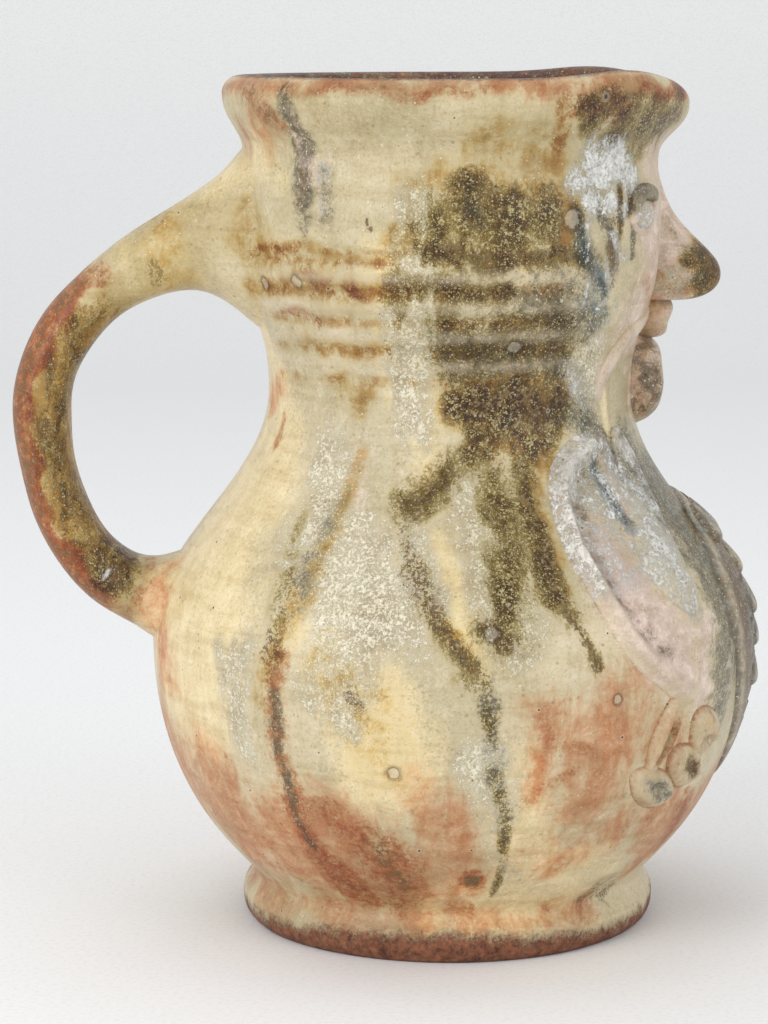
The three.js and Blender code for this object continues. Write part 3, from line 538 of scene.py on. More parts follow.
def glaze_at(points):
    """Strength from 0 to 1 of each colour at points in millimetres, by azimuth and level."""
    azimuth = -np.degrees(np.arctan2(points[:, 1], points[:, 0]))
    level = points[:, 2]
    away = np.abs(azimuth)
    # The unseen side gets the same kinds of marks, shifted so that it is no mirror image.
    other = (azimuth < 0) * rise(away, 62, 100) * (1 - rise(away, 150, 178))
    a, z = wandered(away + other * (9 + 8 * np.sin(level / 21)), level + other * 9 * np.sin(away / 14))
    strength = {name: np.zeros(len(points)) for names in LAYERS.values() for name in names}
    for colour, paths in strokes.items():
        for softness, power, path in paths:
            strength[colour] = np.maximum(strength[colour], power * stroke(a, z, path, softness))
    return strength


def glazed(piece, slot, nodes, extra=None, strength=None, more=None):
    """Writes the colours into the mesh, and ties the piece to the frame."""
    count = len(piece.data.vertices)
    co = np.empty(count * 3, np.float32)
    piece.data.vertices.foreach_get("co", co)
    strength = strength or glaze_at(co.reshape(-1, 3) * 1000.0)
    strength.update(extra or {})
    for name, field in (more or {}).items():
        strength[name] = np.maximum(strength[name], field)
    for attribute, names in LAYERS.items():
        values = np.ones((count, 4), np.float32)
        for k, name in enumerate(names):
            values[:, k] = np.clip(strength[name], 0, 1)
        layer = piece.data.attributes.new(attribute, "FLOAT_COLOR", "POINT")
        layer.data.foreach_set("color", values.ravel())
    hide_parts(*nodes)
    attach(piece, "root")
    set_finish(piece, slot)
    print(piece.name, len(piece.data.polygons), "faces")
    return piece


# %% [markdown]
# ## The vessel
# Foot, belly, neck and rim are one throw, with the wall about 5.5 mm thick. The mesh is one closed
# profile, carried round the axis: out under the foot, up the outside, over the rolled rim, down
# the inside and across the floor. Both ends of the profile meet the axis in a pole.

# %% Profile of the vessel
def levels(low, high, step):
    """Evenly spaced levels, about step apart, without the first."""
    return np.linspace(low, high, max(2, int(round((high - low) / step)) + 1))[1:]


SIDES = 384
azimuths = np.arange(SIDES) * 360 / SIDES
azimuths = np.where(azimuths > 180, azimuths - 360, azimuths)

outer_levels = np.concatenate([[0], levels(0, 6, 1), levels(6, 13.5, 1.5), levels(13.5, NECK + 4, 1.75),
                               levels(NECK + 4, 206, 0.75), levels(206, RIM, 1.3)])
outer = on_wall(azimuths[None, :], outer_levels[:, None])

# The foot is pared by hand, so its lowest edge wanders a little, and its underside is flat.
below = np.linspace(0, 1, 9)[1:, None, None] ** 0.7 * outer[0][None] * [1, 1, 0]
under = np.concatenate([np.zeros((1, SIDES, 3)), below[:-1]])

# %% Rim and inside
around = np.linspace(0, np.pi, 22)[1:]
bead = np.stack([thrown_radius(RIM) - BEAD + BEAD * np.cos(around), RIM + BEAD * np.sin(around)], 1)
inner_levels = np.concatenate([levels(13.5, NECK, 3.5), levels(NECK, 211.7, 3.0)])[::-1]
slope = slope_at(inner_levels)
inner = np.stack([thrown_radius(inner_levels) - WALL / np.hypot(1, slope),
                  inner_levels + WALL * slope / np.hypot(1, slope)], 1)
floor = np.array([[50, 13.5], [46, 10], [43, 8.6], [38, 8.1], [28, FLOOR], [14, FLOOR], [0, FLOOR]])
profile = np.vstack([bead, inner, floor])


def turned_about(profile):
    """Each (radius, level) of the profile carried round the axis, and warped where the lip is."""
    radius, level = profile[:, :1], profile[:, 1:]
    pull, lift = lip_warp(azimuths[None, :], level)
    radius = radius + (pull + 0.8 * wobble(azimuths[None, :], level)) * rise(radius, 5, 40)
    a = np.radians(azimuths)[None, :]
    return np.stack([radius * np.cos(a), radius * np.sin(a), level + lift], -1)


inside = turned_about(profile)
inside[-1] = [0, 0, FLOOR]
vessel_grid = np.concatenate([under, outer, inside])
vessel = mesh_from("vessel_glazed", vessel_grid)

# %% Glaze of the vessel
def by_row(values):
    """One value for each row of the vessel, as values for all its points."""
    return flattened(np.repeat(values[:, None, None], SIDES, 1), False)[:, 0]


# Rows counted from the top of the outer wall: the bead takes the next 21, then comes the inside.
row = by_row(np.arange(len(vessel_grid))) - len(under) - len(outer)
inside_share, rim_rust_and_shade = rise(row, 14, 24), rise(row, 5, 10)
co = flattened(vessel_grid, False)
level, azimuth = co[:, 2], -np.degrees(np.arctan2(co[:, 1], co[:, 0]))
shown = rise(np.abs(azimuth), 44, 66) * (1 - rise(np.abs(azimuth), 152, 168))
tilted = level + 1.5 * azimuth / 180
# Level, width and strength of the glaze that pooled in the grooves, and levels of the ridges, which get a
# painted highlight.
pools = [(188.6, 0.9, 0.5), (185.6, 1.2, 0.7), (178, 2.4, 0.8), (170, 1.5, 0.8), (162.3, 1.8, 0.7),
         (154.5, 1.8, 0.4)]
groove = shown * sum(power * bell(tilted - at, wide) for at, wide, power in pools)
ridge = shown * sum(bell(tilted - at, 1.4) for at in (182, 173.9, 166.2, 158.4))
foot_line = 6.2 + 1.7 * np.sin(np.arctan2(co[:, 1], co[:, 0]) * 3 + 0.6)
strength = {name: field * (1 - inside_share) for name, field in glaze_at(co).items()}
# The top and inside of the bead get pool, iron and slate: partly the lip's own brown glaze, partly
# painted shade.
strength["pool"] = np.maximum(groove * (1 - inside_share), rim_rust_and_shade)
strength["iron"] = np.maximum(strength["iron"], 0.7 * rim_rust_and_shade)
strength["slate"] = np.maximum(strength["slate"], 0.75 * rim_rust_and_shade)
# The edge on the ridges is a painted highlight.
strength["edge"] = 0.7 * ridge * (1 - inside_share)
strength["bare"] = (1 - rise(level, foot_line - 4, foot_line + 4.5)) * (1 - inside_share)
glazed(vessel, "ash", ["vessel"], strength=strength)

# %% [markdown]
# ## The handle
# A handle is pulled from a lump of clay, laid on the neck, bent over and pressed onto the belly.
# A curve with a bevel would give an even tube, but a pulled strap swells into both roots. So an
# oval section is carried along a path, growing towards the ends, and the last rows follow the
# wall and dip under it, as clay that is smeared on does.

# %% Path and sections of the handle
def evenly(path, count, crowding=0.0):
    """A path resampled by distance: evenly, or with points crowded towards both ends."""
    gone = np.concatenate([[0], np.cumsum(np.hypot(*np.diff(path, axis=0).T))])
    share = np.linspace(0, 1, count)
    at = gone[-1] * (share + crowding * (rise(share, 0, 1) - share))
    return np.stack([np.interp(at, gone, path[:, k]) for k in range(2)], 1), at


ROWS = 200
# Where the strap leaves the neck and lands on the belly, and its farthest point, as (x, z).
top, end = ((-thrown_radius(level), level) for level in (188.0, BELLY + 11))
out = (-111.4, NECK - 5.5)
bend = np.vstack([
    bezier(top, (top[0] - 28, top[1] - 2), (out[0], out[1] + 24), out, 300),
    bezier(out, (out[0], out[1] - 23), (end[0] - 22, end[1] + 3), end, 300)[1:],
])
spine, gone = evenly(bend, ROWS, crowding=0.7)
along = np.gradient(spine, axis=0)
along /= np.hypot(*along.T)[:, None]
inward = np.stack([-along[:, 1], along[:, 0]], 1)
left = gone[-1] - gone

thickness = (15.4 + 29 * np.exp(-gone / 12) + 7 * np.exp(-left / 7) + 7 * np.exp(-gone / 2.5)
             + 4 * np.exp(-left / 2) + 0.35 * np.sin(gone / 9) + 0.25 * np.sin(gone / 4.1 + 1))
width = (23 + 22 * np.exp(-gone / 11) + 8 * np.exp(-left / 6) + 6 * np.exp(-gone / 2.5)
         + 6 * np.exp(-left / 2) + 0.4 * np.sin(gone / 13 + 2))
phi = np.linspace(0, 2 * np.pi, 72, endpoint=False)[None, :]
# The fingers leave the strap a little flat, with soft corners: cos and sin to the power 0.85.
deep = np.sign(np.cos(phi)) * np.abs(np.cos(phi)) ** 0.85 * thickness[:, None] / 2
wide = np.sign(np.sin(phi)) * np.abs(np.sin(phi)) ** 0.85 * width[:, None] / 2
strap = np.stack([spine[:, :1] + inward[:, :1] * deep, wide, spine[:, 1:] + inward[:, 1:] * deep], -1)

# %% Roots bent to the wall
def to_wall(points, distance):
    """The points moved along their radius until they stand a distance out from the wall."""
    azimuth = np.degrees(np.arctan2(points[..., 1], points[..., 0]))
    seat = on_wall(azimuth, points[..., 2])
    reach = np.hypot(points[..., 0], points[..., 1])
    goal = np.hypot(seat[..., 0], seat[..., 1]) + distance
    return points * np.stack([goal / reach, goal / reach, np.ones_like(reach)], -1)


def distance_out(points):
    """How far the points stand out from the wall, along their radius."""
    seat = to_wall(points, 0)
    return np.hypot(points[..., 0], points[..., 1]) - np.hypot(seat[..., 0], seat[..., 1])


# Near the wall a flat section would cut into it at the sides, so all its points are held as far
# out as its middle is. Away from the wall each point keeps its own place.
middle = distance_out(np.stack([spine[:, 0], 0 * gone, spine[:, 1]], -1))[:, None]
bent = bell(middle, 10)
strap = to_wall(strap, distance_out(strap) * (1 - bent) + middle * bent - 1.3 * bell(middle, 1.6))
caps = []
for edge in (strap[0], strap[-1]):
    rings = np.array([0, 0.4, 0.75, 1.0])[:, None, None]
    caps.append(to_wall(edge.mean(0) + (edge - edge.mean(0)) * rings, -2.2))
handle_grid = np.concatenate([caps[0], strap, caps[1][::-1]])
handle = mesh_from("handle_glazed", handle_grid)

# %% Glaze of the handle, by its own length and girth
share = np.concatenate([np.zeros(4), gone / gone[-1], np.ones(4)])[:, None] + 0 * phi
outside = -np.cos(phi) + 0 * share
sway = 0.12 * np.sin(share * 31 + 3 * phi) + 0.1 * np.sin(share * 67 - 2 * phi)
span = rise(share, 0.2, 0.36) * (1 - rise(share, 0.88, 0.96))
on_strap = rise(share, 0.05, 0.14) * (1 - rise(share, 0.93, 0.99))
fields = {
    "cream": 0.75 * (1 - rise(share, 0.12, 0.3)) + 0.15 * span,
    "olive": (0.35 * bell(share - 0.06, 0.05) + 0.42 * span * (1 - rise(outside, -0.2, 0.5))
              + bell(share - 0.9, 0.03) * (1 - rise(outside, -0.1, 0.7))
              + 0.3 * bell(share - 0.16, 0.05) * rise(sway, 0.0, 0.2)),
    "amber": 0.75 * span * (1 - rise(outside, 0.0, 0.7)) + 0.4 * bell(share - 0.12, 0.08),
    "salmon": span * rise(outside + sway, 0.0, 0.4),
    "veil": 0.8 * (1 - span),
    "crust": (0.45 * span * rise(outside + sway, 0.2, 0.6)
              + 0.8 * bell(share - 0.9, 0.02) * (1 - rise(outside, -0.1, 0.5))),
    "iron": (span * rise(outside + sway, -0.05, 0.4)
             + 0.5 * bell(share - 0.05, 0.03) * rise(sway, -0.1, 0.2)
             + 0.7 * bell(share - 0.955, 0.015)),
    # The frost on the outside of the upper bend is a painted highlight.
    "frost": 0.35 * bell(share - 0.2, 0.1) * rise(outside, 0.2, 0.9),
    "white": bell(share - 0.885, 0.006) * bell(phi - 4.9, 0.25),
}
own_share = flattened(on_strap[..., None], False)[:, 0]
strength = glaze_at(flattened(handle_grid, False))
for name in strength:
    own = flattened((fields.get(name, 0 * share))[..., None], False)[:, 0]
    strength[name] = strength[name] * (1 - own_share) + own * own_share
glazed(handle, "iron", ["handle"], strength=strength)

# %% [markdown]
# ## Pads: clay pressed onto the wall
# Most of the owl is pads: small slabs pressed on and smoothed down at the edge. A pad is given by
# its outline on the unrolled wall and a height above the wall. The grid runs from the middle out
# to the edge and a little beyond, where it dips under the glaze of the vessel, then back below.
# Sculpting would be freer, but a height that is written down can be mirrored and changed.

# %% Outlines and pads
def between(points, f):
    """A Catmull-Rom piece: the cubic from the second to the third of four points, at the share f."""
    a, b, c, d = points
    even, odd = 2 * a - 5 * b + 4 * c - d, 3 * b - a - 3 * c + d
    return 0.5 * (2 * b + (c - a) * f + even * f**2 + odd * f**3)


def loop_through(corners, sides):
    """A closed curve of such pieces through the corners."""
    p = np.array(corners, float)
    t = np.arange(sides) / sides * len(p)
    k, f = t.astype(int) % len(p), (t % 1)[:, None]
    return between([p[(k + shift) % len(p)] for shift in (-1, 0, 1, 2)], f)


def leaf(azimuth, level, length, width, turn=0.0, pointed=0.0, sides=96):
    """An oval in millimetres along the wall, turned in degrees, and narrowed towards one end."""
    angle = np.linspace(0, 2 * np.pi, sides, endpoint=False)
    run = length / 2 * np.cos(angle)
    across = width / 2 * np.sin(angle) * (1 - pointed * np.maximum(0, -np.cos(angle)) ** 2)
    c, s = np.cos(np.radians(turn)), np.sin(np.radians(turn))
    return np.stack([azimuth + (run * c - across * s) / mm_per_degree(level),
                     level + run * s + across * c], 1)


def pad_grid(centre, edge, height, rows=34, skirt=0.1, seat=-1.5):
    """Loops out to the edge at height(share, azimuth, level, angle) and back below, and the shares."""
    centre = np.array(centre, float)
    share = np.linspace(0, 1 + skirt, rows)[:, None]
    angle = np.linspace(0, 2 * np.pi, len(edge), endpoint=False)[None, :]
    spot = centre + (edge - centre)[None] * share[..., None]
    over = height(share, spot[..., 0], spot[..., 1], angle)
    dip = np.where(share > 1, -1.1 * rise(share, 1, 1 + skirt), 0)
    over = dip + over * (1 - rise(share, 0.985, 1.02))
    back = share[::-max(1, rows // 6)]
    back = np.append(back, 0)[:, None]
    low = centre + (edge - centre)[None] * back[..., None]
    top = on_wall(spot[..., 0], spot[..., 1], over)
    return np.concatenate([top, on_wall(low[..., 0], low[..., 1], seat)]), share


def on_points(fields, top, grid, is_ring=False):
    """Fields over the top rows of a grid as values for all its points, 0 on the rows below."""
    rows, sides = grid.shape[:2]
    values = {}
    for name, field in (fields or {}).items():
        upper = np.broadcast_to(field, (len(top), sides))
        full = np.vstack([upper, np.zeros((rows - len(top), sides))])
        values[name] = flattened(full[..., None], is_ring)[:, 0]
    return values


def applied(name, grid, top, slot, extra):
    """A piece in the middle, with its own glaze fields. Its name is the one in the CAD."""
    glazed(mesh_from(name + "_glazed", grid), slot, [name], on_points(extra, top, grid))


def both_sides(name, grid, top, slot, extra=None, more=None, is_ring=False):
    """The owl's left piece from a grid, and the right one with Y turned over. Names as in the CAD."""
    for side, flip in (("left", 1), ("right", -1)):
        piece = mesh_from(f"{side}_{name}_glazed", grid * [1, flip, 1], is_ring)
        glazed(piece, slot, [f"{side}_{name}"], on_points(extra, top, grid, is_ring),
               more=on_points(more, top, grid, is_ring))


# %% [markdown]
# ## The face
# The beak is the strongest form: a bridge that runs down from the brow and swells into a hooked
# tip. A subdivided cube could be pushed into it. It is lofted instead, down its own silhouette,
# so that the outline against the background is exactly the one measured: at each step the
# section comes off the wall on one side, over the crest, and back down on the other.

# %% Beak
# Its crest as (x, z), from the brow down the bridge to the hook and back under it.
crest = np.array([
    (56.5, 209.5), (57.4, 204), (59.0, 199.2), (60.8, 195.4), (63.6, 191.6), (67.0, 188.2), (70.8, 184.6),
    (73.6, 181.4), (74.7, 178.4), (74.2, 175.2), (71.7, 172.7), (68.2, 171.3), (64.6, 170.8),
    (61.0, 171.4)])
crest, _ = evenly(crest, 90)
smoother = np.array([1, 4, 6, 4, 1]) / 16
for _ in range(4):
    inner_part = np.stack([np.convolve(crest[:, k], smoother, "valid") for k in range(2)], 1)
    crest = np.vstack([crest[:2], inner_part, crest[-2:]])
share = np.linspace(0, 1, 90)[:, None]
side = np.sin(np.linspace(-np.pi / 2, np.pi / 2, 41))[None, :]
half_width = 3.5 + 6.0 * rise(share, 0.12, 0.62) - 1.6 * rise(share, 0.8, 1)
seat_level = np.maximum(crest[:, 1:], 171.2 + 1.2 * (1 - share))
azimuth = side * half_width / mm_per_degree(seat_level)
seat = on_wall(azimuth, seat_level, -0.8)
nostril = bell(share - 0.79, 0.06) * bell(np.abs(side) - 0.8, 0.13)
fullness = 1.15 - 0.5 * rise(share, 0.3, 0.7)
squareness = 1.5 + rise(share, 0.35, 0.75)
lift = np.clip(1 - np.abs(side) ** squareness, 0, 1) ** fullness * (1 - 0.3 * nostril)
cheeks = 1 + 0.16 * np.sin(np.pi * lift) * rise(share, 0.4, 0.7) - 0.22 * nostril
over = np.stack([seat[..., 0] + (crest[:, :1] - seat[..., 0]) * lift, seat[..., 1] * cheeks,
                 seat[..., 2] + (crest[:, 1:] - seat[..., 2]) * lift], -1)
beneath = on_wall(azimuth[:, ::-1], np.broadcast_to(seat_level, azimuth.shape), -2.0)[:, 1:-1]
loops = np.concatenate([over, beneath], 1)
beak_grid = np.concatenate([loops[:1].mean(1, keepdims=True).repeat(loops.shape[1], 1), loops,
                            loops[-1:].mean(1, keepdims=True).repeat(loops.shape[1], 1)])
beak = mesh_from("beak_glazed", beak_grid)


def over_beak(field):
    """A field over the upper side of the beak, as values for all its points."""
    full = np.hstack([np.broadcast_to(field, over.shape[:2]), np.zeros((90, beneath.shape[1]))])
    return flattened(np.vstack([full[:1], full, full[-1:]])[..., None], False)[:, 0]


# The dark bulb begins where the beak stands clear of the face, and the bridge stays pale.
x, z = over[..., 0], over[..., 2]
ragged = 1.8 * np.sin(z / 2.3 + 3 * side) + 1.2 * np.sin(z / 1.1 - 7 * side)
tip = rise(x + ragged, 60, 70) * (1 - rise(z + ragged, 183, 193))
# The pool in the nostril dent is painted shade, and the edge along the crest is a painted highlight.
fields = {
    "pool": nostril, "olive": 0.36 * tip, "amber": 0.75 * tip, "veil": 0.2 + 0.7 * tip,
    "crust": 0.18 * tip * rise(np.cos(share * 25 + side * 4), 0.0, 0.8),
    "frost": 0.8 * bell(share - 0.72, 0.08) * rise(np.abs(side), 0.6, 0.9),
    "pink": 0.9 * (1 - tip), "cream": 0.3 * (1 - tip), "slate": 0.12 + 0.25 * tip,
    "iron": 0.4 * rise(np.abs(side), 0.7, 0.95) * rise(share, 0.5, 0.7), "edge": bell(side, 0.25) * 0.5,
}
glazed(beak, "olive", ["beak"], {name: over_beak(field) for name, field in fields.items()})

# %% Eyes, with the lid thicker above
EYE, EYE_LEVEL = 30, COLLAR + 2
angle = np.linspace(0, 2 * np.pi, 96, endpoint=False)[:, None]
girth = np.linspace(0, 2 * np.pi, 28, endpoint=False)[None, :]
heavy = rise(np.sin(angle) + 0.35 * np.cos(angle), -0.7, 0.9)
inset = (1.0 + 1.2 * heavy) * (1 + np.cos(girth))
outward = np.clip(np.sin(girth), 0, 1)
out_of_wall = np.where(outward > 0, (0.5 + 2.1 * heavy) * outward**0.8, 1.4 * np.sin(girth))
ring_grid = on_wall(EYE + (9.25 - inset) * np.cos(angle) / mm_per_degree(EYE_LEVEL),
                    EYE_LEVEL + (7 - inset) * np.sin(angle), out_of_wall)
upper = rise(heavy, 0.35, 0.8)
# The edge on the ring's outward face is a painted highlight.
both_sides("eye_ring", ring_grid, angle, "blue", is_ring=True, extra={
    "slate": upper, "pink": 0.8 * (1 - upper), "edge": 0.5 * outward, "pool": 0.7 * upper,
    "olive": 0.3 * upper})
ball, share = pad_grid((EYE, COLLAR + 0.6), leaf(EYE, COLLAR + 0.6, 13, 8), skirt=0.35,
                       height=lambda s, a, z, t: 1.5 * np.sqrt(np.clip(1 - s * s, 0, 1)))
dark_side = rise(-3 - share * 5 * np.cos(angle.T), -1, 4)
both_sides("eyeball", ball, share, "blue", extra={
    "white": 0.5 * (1 - dark_side), "slate": 0.9 * dark_side, "pool": rise(share, 0.7, 1.1)})

# %% Ridges round the face
def roll_grid(path, width, thickness, rows=110):
    """A roll of clay along a path on the wall, nearly half round, and thinner towards both ends."""
    p = np.array([path[0]] + path + [path[-1]], float)
    t = np.linspace(0, len(path) - 1 - 1e-6, rows)
    k, f = t.astype(int), (t % 1)[:, None]
    at = between([p[k + shift] for shift in range(4)], f)
    per_degree = mm_per_degree(at[:, 1])[:, None]
    ahead = np.gradient(at, axis=0)
    across = np.stack([-ahead[:, 1], ahead[:, 0] * per_degree[:, 0]], 1)
    across /= np.hypot(*across.T)[:, None]
    full = np.sin(np.pi * np.linspace(0.04, 0.96, rows))[:, None] ** 0.5
    turn = np.linspace(0, 2 * np.pi, 28, endpoint=False)[None, :]
    side = np.cos(turn) * width / 2 * full
    outward = np.clip(np.sin(turn), 0, 1)
    out = np.where(outward > 0, thickness * full * outward**0.9, 1.3 * np.sin(turn))
    azimuth, level = at[:, :1] + side * across[:, :1] / per_degree, at[:, 1:] + side * across[:, 1:]
    loops = on_wall(azimuth, level, out)
    ends = [loops[k].mean(0)[None, None].repeat(28, 1) for k in (0, -1)]
    crown = np.vstack([np.zeros((1, 28)), outward + 0 * full, np.zeros((1, 28))])
    return np.concatenate([ends[0], loops, ends[1]]), crown


# From beside the beak round the cheek and down to the neck, as azimuth and level.
jaw = [(4.0, 168.4), (15.8, 165.8), (27, 163.2), (35.5, 157.5), (40.5, 151.5), (41.5, 146.5)]
ridge, crown = roll_grid(jaw, 6.2, 1.7)
# The edge along the crown of the roll is a painted highlight.
both_sides("face_ridge", ridge, crown, "pink", extra={
    "pink": 0.9 * crown, "edge": 0.7 * crown, "pool": rise(-crown, -0.35, 0), "cream": 0.35 * crown})

# %% Lower beak and throat flap
def up_to(levels_and_reaches):
    """A height function whose silhouette, seen from the side, passes through those places."""
    at, reach = np.array(sorted(levels_and_reaches)).T

    def height(level):
        return np.interp(level, at, reach) - thrown_radius(level)
    return height


under_beak = up_to([(159, 57.8), (162, 58.8), (164.3, 60.0), (167.1, 60.3), (170.6, 62.0), (174, 63)])
knob, share = pad_grid((0, 167.2), leaf(0, 167.2, 14, 12.6), skirt=0.12,
                       height=lambda s, a, z, t: under_beak(z) * np.sqrt(np.clip(1 - s**5, 0, 1)))
applied("lower_beak", knob, share, "pink", {
    "pink": 0.7 - 0.5 * rise(share, 0.8, 1.1), "salmon": 0.1 + 0.4 * rise(share, 0.7, 0.95),
    "pool": 0.7 * rise(share, 0.9, 1.1), "veil": 0.9, "slate": 0.12})
front = up_to([(136, 57.4), (144.4, 58.2), (148.8, 58.6), (154.9, 58.2), (163, 58.6)])


def flap_height(share, azimuth, level, angle):
    """As far out as the outline in the photograph, round at the edge, with two soft folds."""
    folds = 0.3 * np.sin(azimuth / 3.1 + level / 9) * (1 - share) * np.abs(np.sin(azimuth / 6))
    return (front(level) + folds) * np.clip(1 - share**9, 0, 1) ** 0.5


edge = leaf(0, 149.4, 25.4, 21, turn=90, pointed=0.05, sides=128)
# Pushed out at the four corners, so that the flap is nearly square.
edge[:, 0] *= 1 + 0.3 * np.sin(np.linspace(0, 4 * np.pi, 128, endpoint=False)) ** 2
flap, share = pad_grid((0, 149.4), edge, flap_height, rows=64, skirt=0.07)
applied("throat_flap", flap, share, "clay", {
    "salmon": 0.05 + 0.2 * rise(share, 0.72, 1.0), "slate": 0.42, "olive": 0, "veil": 1,
    "iron": 0.15 * bell(share - 0.99, 0.05), "pool": 0.4 * rise(share, 0.9, 1.08)})

# %% [markdown]
# ## Wings
# Each wing is a thin leaf with a raised roll down its back edge and round its tip, and a feather
# laid over its upper part. The roll could be a separate coil, but it was pinched up from the slab
# itself: on the jug it melts away to nothing at the front. So the height rises to a roll only near
# the edge and only towards the back.

# %% Wing
# The middle and the corners of the wing, as azimuth and level.
wing_middle = (48.9, 108.1)
wing_edge = loop_through([
    (41.8, 139.6), (55.7, 137.6), (65.1, 129.8), (67.5, 116.9), (65.5, 103), (59.6, 85.3),
    (51.3, 75.2), (42.5, 68), (38.4, 76.5), (33.8, 96.6), (28, 119.4), (32.7, 133.5)], 220)


def wing_height(share, azimuth, level, angle):
    """A slab that fades forwards, a groove, and a roll pinched up along the back and the tip."""
    back = rise(azimuth, 36, 50)
    slab = 1.8 * (1 - rise(share, 0.5, 1.0) * (1 - back)) * (1 - 0.5 * rise(share, 0.9, 1.0))
    roll = 2.5 * bell(share - 0.87, 0.08) - 0.9 * bell(share - 0.68, 0.09)
    return slab + back * roll * (1 - rise(share, 0.92, 1.0))


wing, share = pad_grid(wing_middle, wing_edge, wing_height, rows=64, skirt=0.07, seat=-1.4)
azimuth, level = (at + (edge - at) * share for at, edge in zip(wing_middle, wing_edge.T))
back, high = rise(azimuth, 40, 54), rise(level, 92, 108)
on_roll = back * bell(share - 0.88, 0.1)
# The slate in the groove inside the roll and the slate and pool along its outer foot are painted shade;
# the edge on the roll is a painted highlight.
both_sides("wing", wing, share, "pink", extra={
    "olive": 0, "amber": 0, "salmon": 0, "edge": 0.5 * on_roll,
    "pool": back * 0.8 * rise(share, 0.97, 1.05)}, more={
    "white": 0.45 * on_roll * high + 0.4 * high, "pink": 0.9 * on_roll * (1 - high),
    "slate": back * (0.3 * bell(share - 0.7, 0.1) + 0.5 * rise(share, 0.97, 1.05)) + 0.12 * high})

# %% Overlaid feather
feather_edge = loop_through([
    (33.5, 139), (28.5, 132.5), (31, 122), (35, 112.7), (36.6, 103), (37.2, 96), (40.8, 91.6),
    (46.4, 95.6), (49.8, 102.5), (49.2, 109.7), (45, 119), (40.4, 128.1), (38.4, 136)], 150)


def feather_height(share, azimuth, level, angle):
    """Lies on the wing: blends into it at the top, and stands 2 mm high at the tip's edge."""
    low = 1 - rise(level, 108, 134)
    return 1.5 + (0.5 + 1.7 * low) * np.clip(1 - share**3.2, 0, 1) ** 0.55


feather, share = pad_grid((41.2, 110), feather_edge, feather_height, rows=44, skirt=0.1, seat=-1.0)
# The crust and pool round the feather's outline are a painted shadow line, and the edge just inside it is
# a painted highlight.
both_sides("wing_feather", feather, share, "blue", extra={
    "edge": 0.35 * bell(share - 0.9, 0.08), "pool": 0.75 * rise(share, 0.97, 1.06)}, more={
    "white": 0.45, "crust": 0.6 * bell(share - 1.02, 0.03)})

# %% [markdown]
# ## Breast
# The breast is a shield of clay with rows of overlapping lumps, like scales or small feathers.
# A displacement texture would cover it with even scales. The lumps on the jug are pressed on one
# by one, so each is its own small pad, thick at its lower lip, on a panel that is dented between.

# %% Breast panel and its pellets
# Half the shield's outline, as shares of its half width in degrees and of its height.
half = [(0.5, 0.92), (0.86, 0.8), (1, 0.64), (0.88, 0.44), (0.6, 0.2), (0.28, 0.04)]
half = [(24.4 * across, 36 + 83 * up) for across, up in half]
breast_edge = loop_through([(0, 119)] + half + [(0, 36)] + [(-a, z) for a, z in half[::-1]], 240)


def breast_height(share, azimuth, level, angle):
    """A flat shield with a round edge and small dents in staggered rows."""
    row = (level - 109) / 4.8
    column = azimuth / 4.1 + 0.5 * np.floor(row % 2)
    dent = 0.45 * np.abs(np.sin(np.pi * column)) * (row % 1) * (1 - rise(share, 0.6, 0.85))
    return (3.1 * np.clip(1 - share**5, 0, 1) ** 0.5) + dent - 0.2


panel, share = pad_grid((0, 79), breast_edge, breast_height, rows=60, skirt=0.06)
# The edge round the shield's rim is a painted highlight.
applied("breast_panel", panel, share, "grey", {
    "crust": 0.45 * bell(share - 0.8, 0.14) + 0.25, "slate": 0.9,
    "edge": 0.9 * bell(share - 0.93, 0.05), "pool": 0.7 * (1 - rise(share, 0.6, 0.9))})


def pellet_height(share, azimuth, level, angle):
    """On the panel: highest near the lower lip, where it drops steeply."""
    down = 0.5 - 0.5 * share * np.cos(angle)
    return 2.6 + (0.5 + 2.3 * down) * np.clip(1 - share**3, 0, 1) ** 0.6


lip = rise(-np.cos(np.linspace(0, 2 * np.pi, 56, endpoint=False))[None, :], -0.5, 0.5)
for row, count in enumerate([3, 2, 3, 2, 3]):
    for column in range(count):
        level = BELLY + 30 - row * 9.6
        azimuth = (column - (count - 1) / 2) * 11.4 / mm_per_degree(level)
        form = leaf(azimuth, level, 10.6, 11.6, turn=90, pointed=-0.1, sides=56)
        pellet, share = pad_grid((azimuth, level), form, pellet_height, rows=24, skirt=0.12, seat=1.6)
        # The edge on each pellet's lower lip is a painted highlight.
        applied(f"breast_pellet_{row + 1}_{column + 1}", pellet, share, "grey", {
            "crust": 0.3 * (1 - lip) + 0.6 * rise(share, 0.86, 1.0) * lip, "slate": 0.65,
            "edge": lip * bell(share - 0.68, 0.14), "pool": 0})

# %% [markdown]
# ## Feet
# Each foot is three toes and a hind claw below the wing: leaves of clay, pressed on with the thumb,
# so that each has a soft rim round a hollow. Glaze pooled in the hollows and came out differently
# in each, brown, olive or grey.

# %% Toes and hind claws
def hollow(share, angle, shift, wide):
    """1 in the middle of a hollow, shifted to one side, long with the leaf and narrow across it."""
    return bell(share * np.sin(angle) - shift, wide) * bell(share * np.cos(angle) + 0.1, 0.62)


def toe_height(shift, wide, depth):
    """A height function: a soft lump of clay, pressed to a share of its height in a hollow."""
    def height(share, azimuth, level, angle):
        lump = 3.8 * np.clip(1 - share**2.6, 0, 1) ** 1.2
        return lump * (1 - depth * hollow(share, angle, shift, wide))
    return height


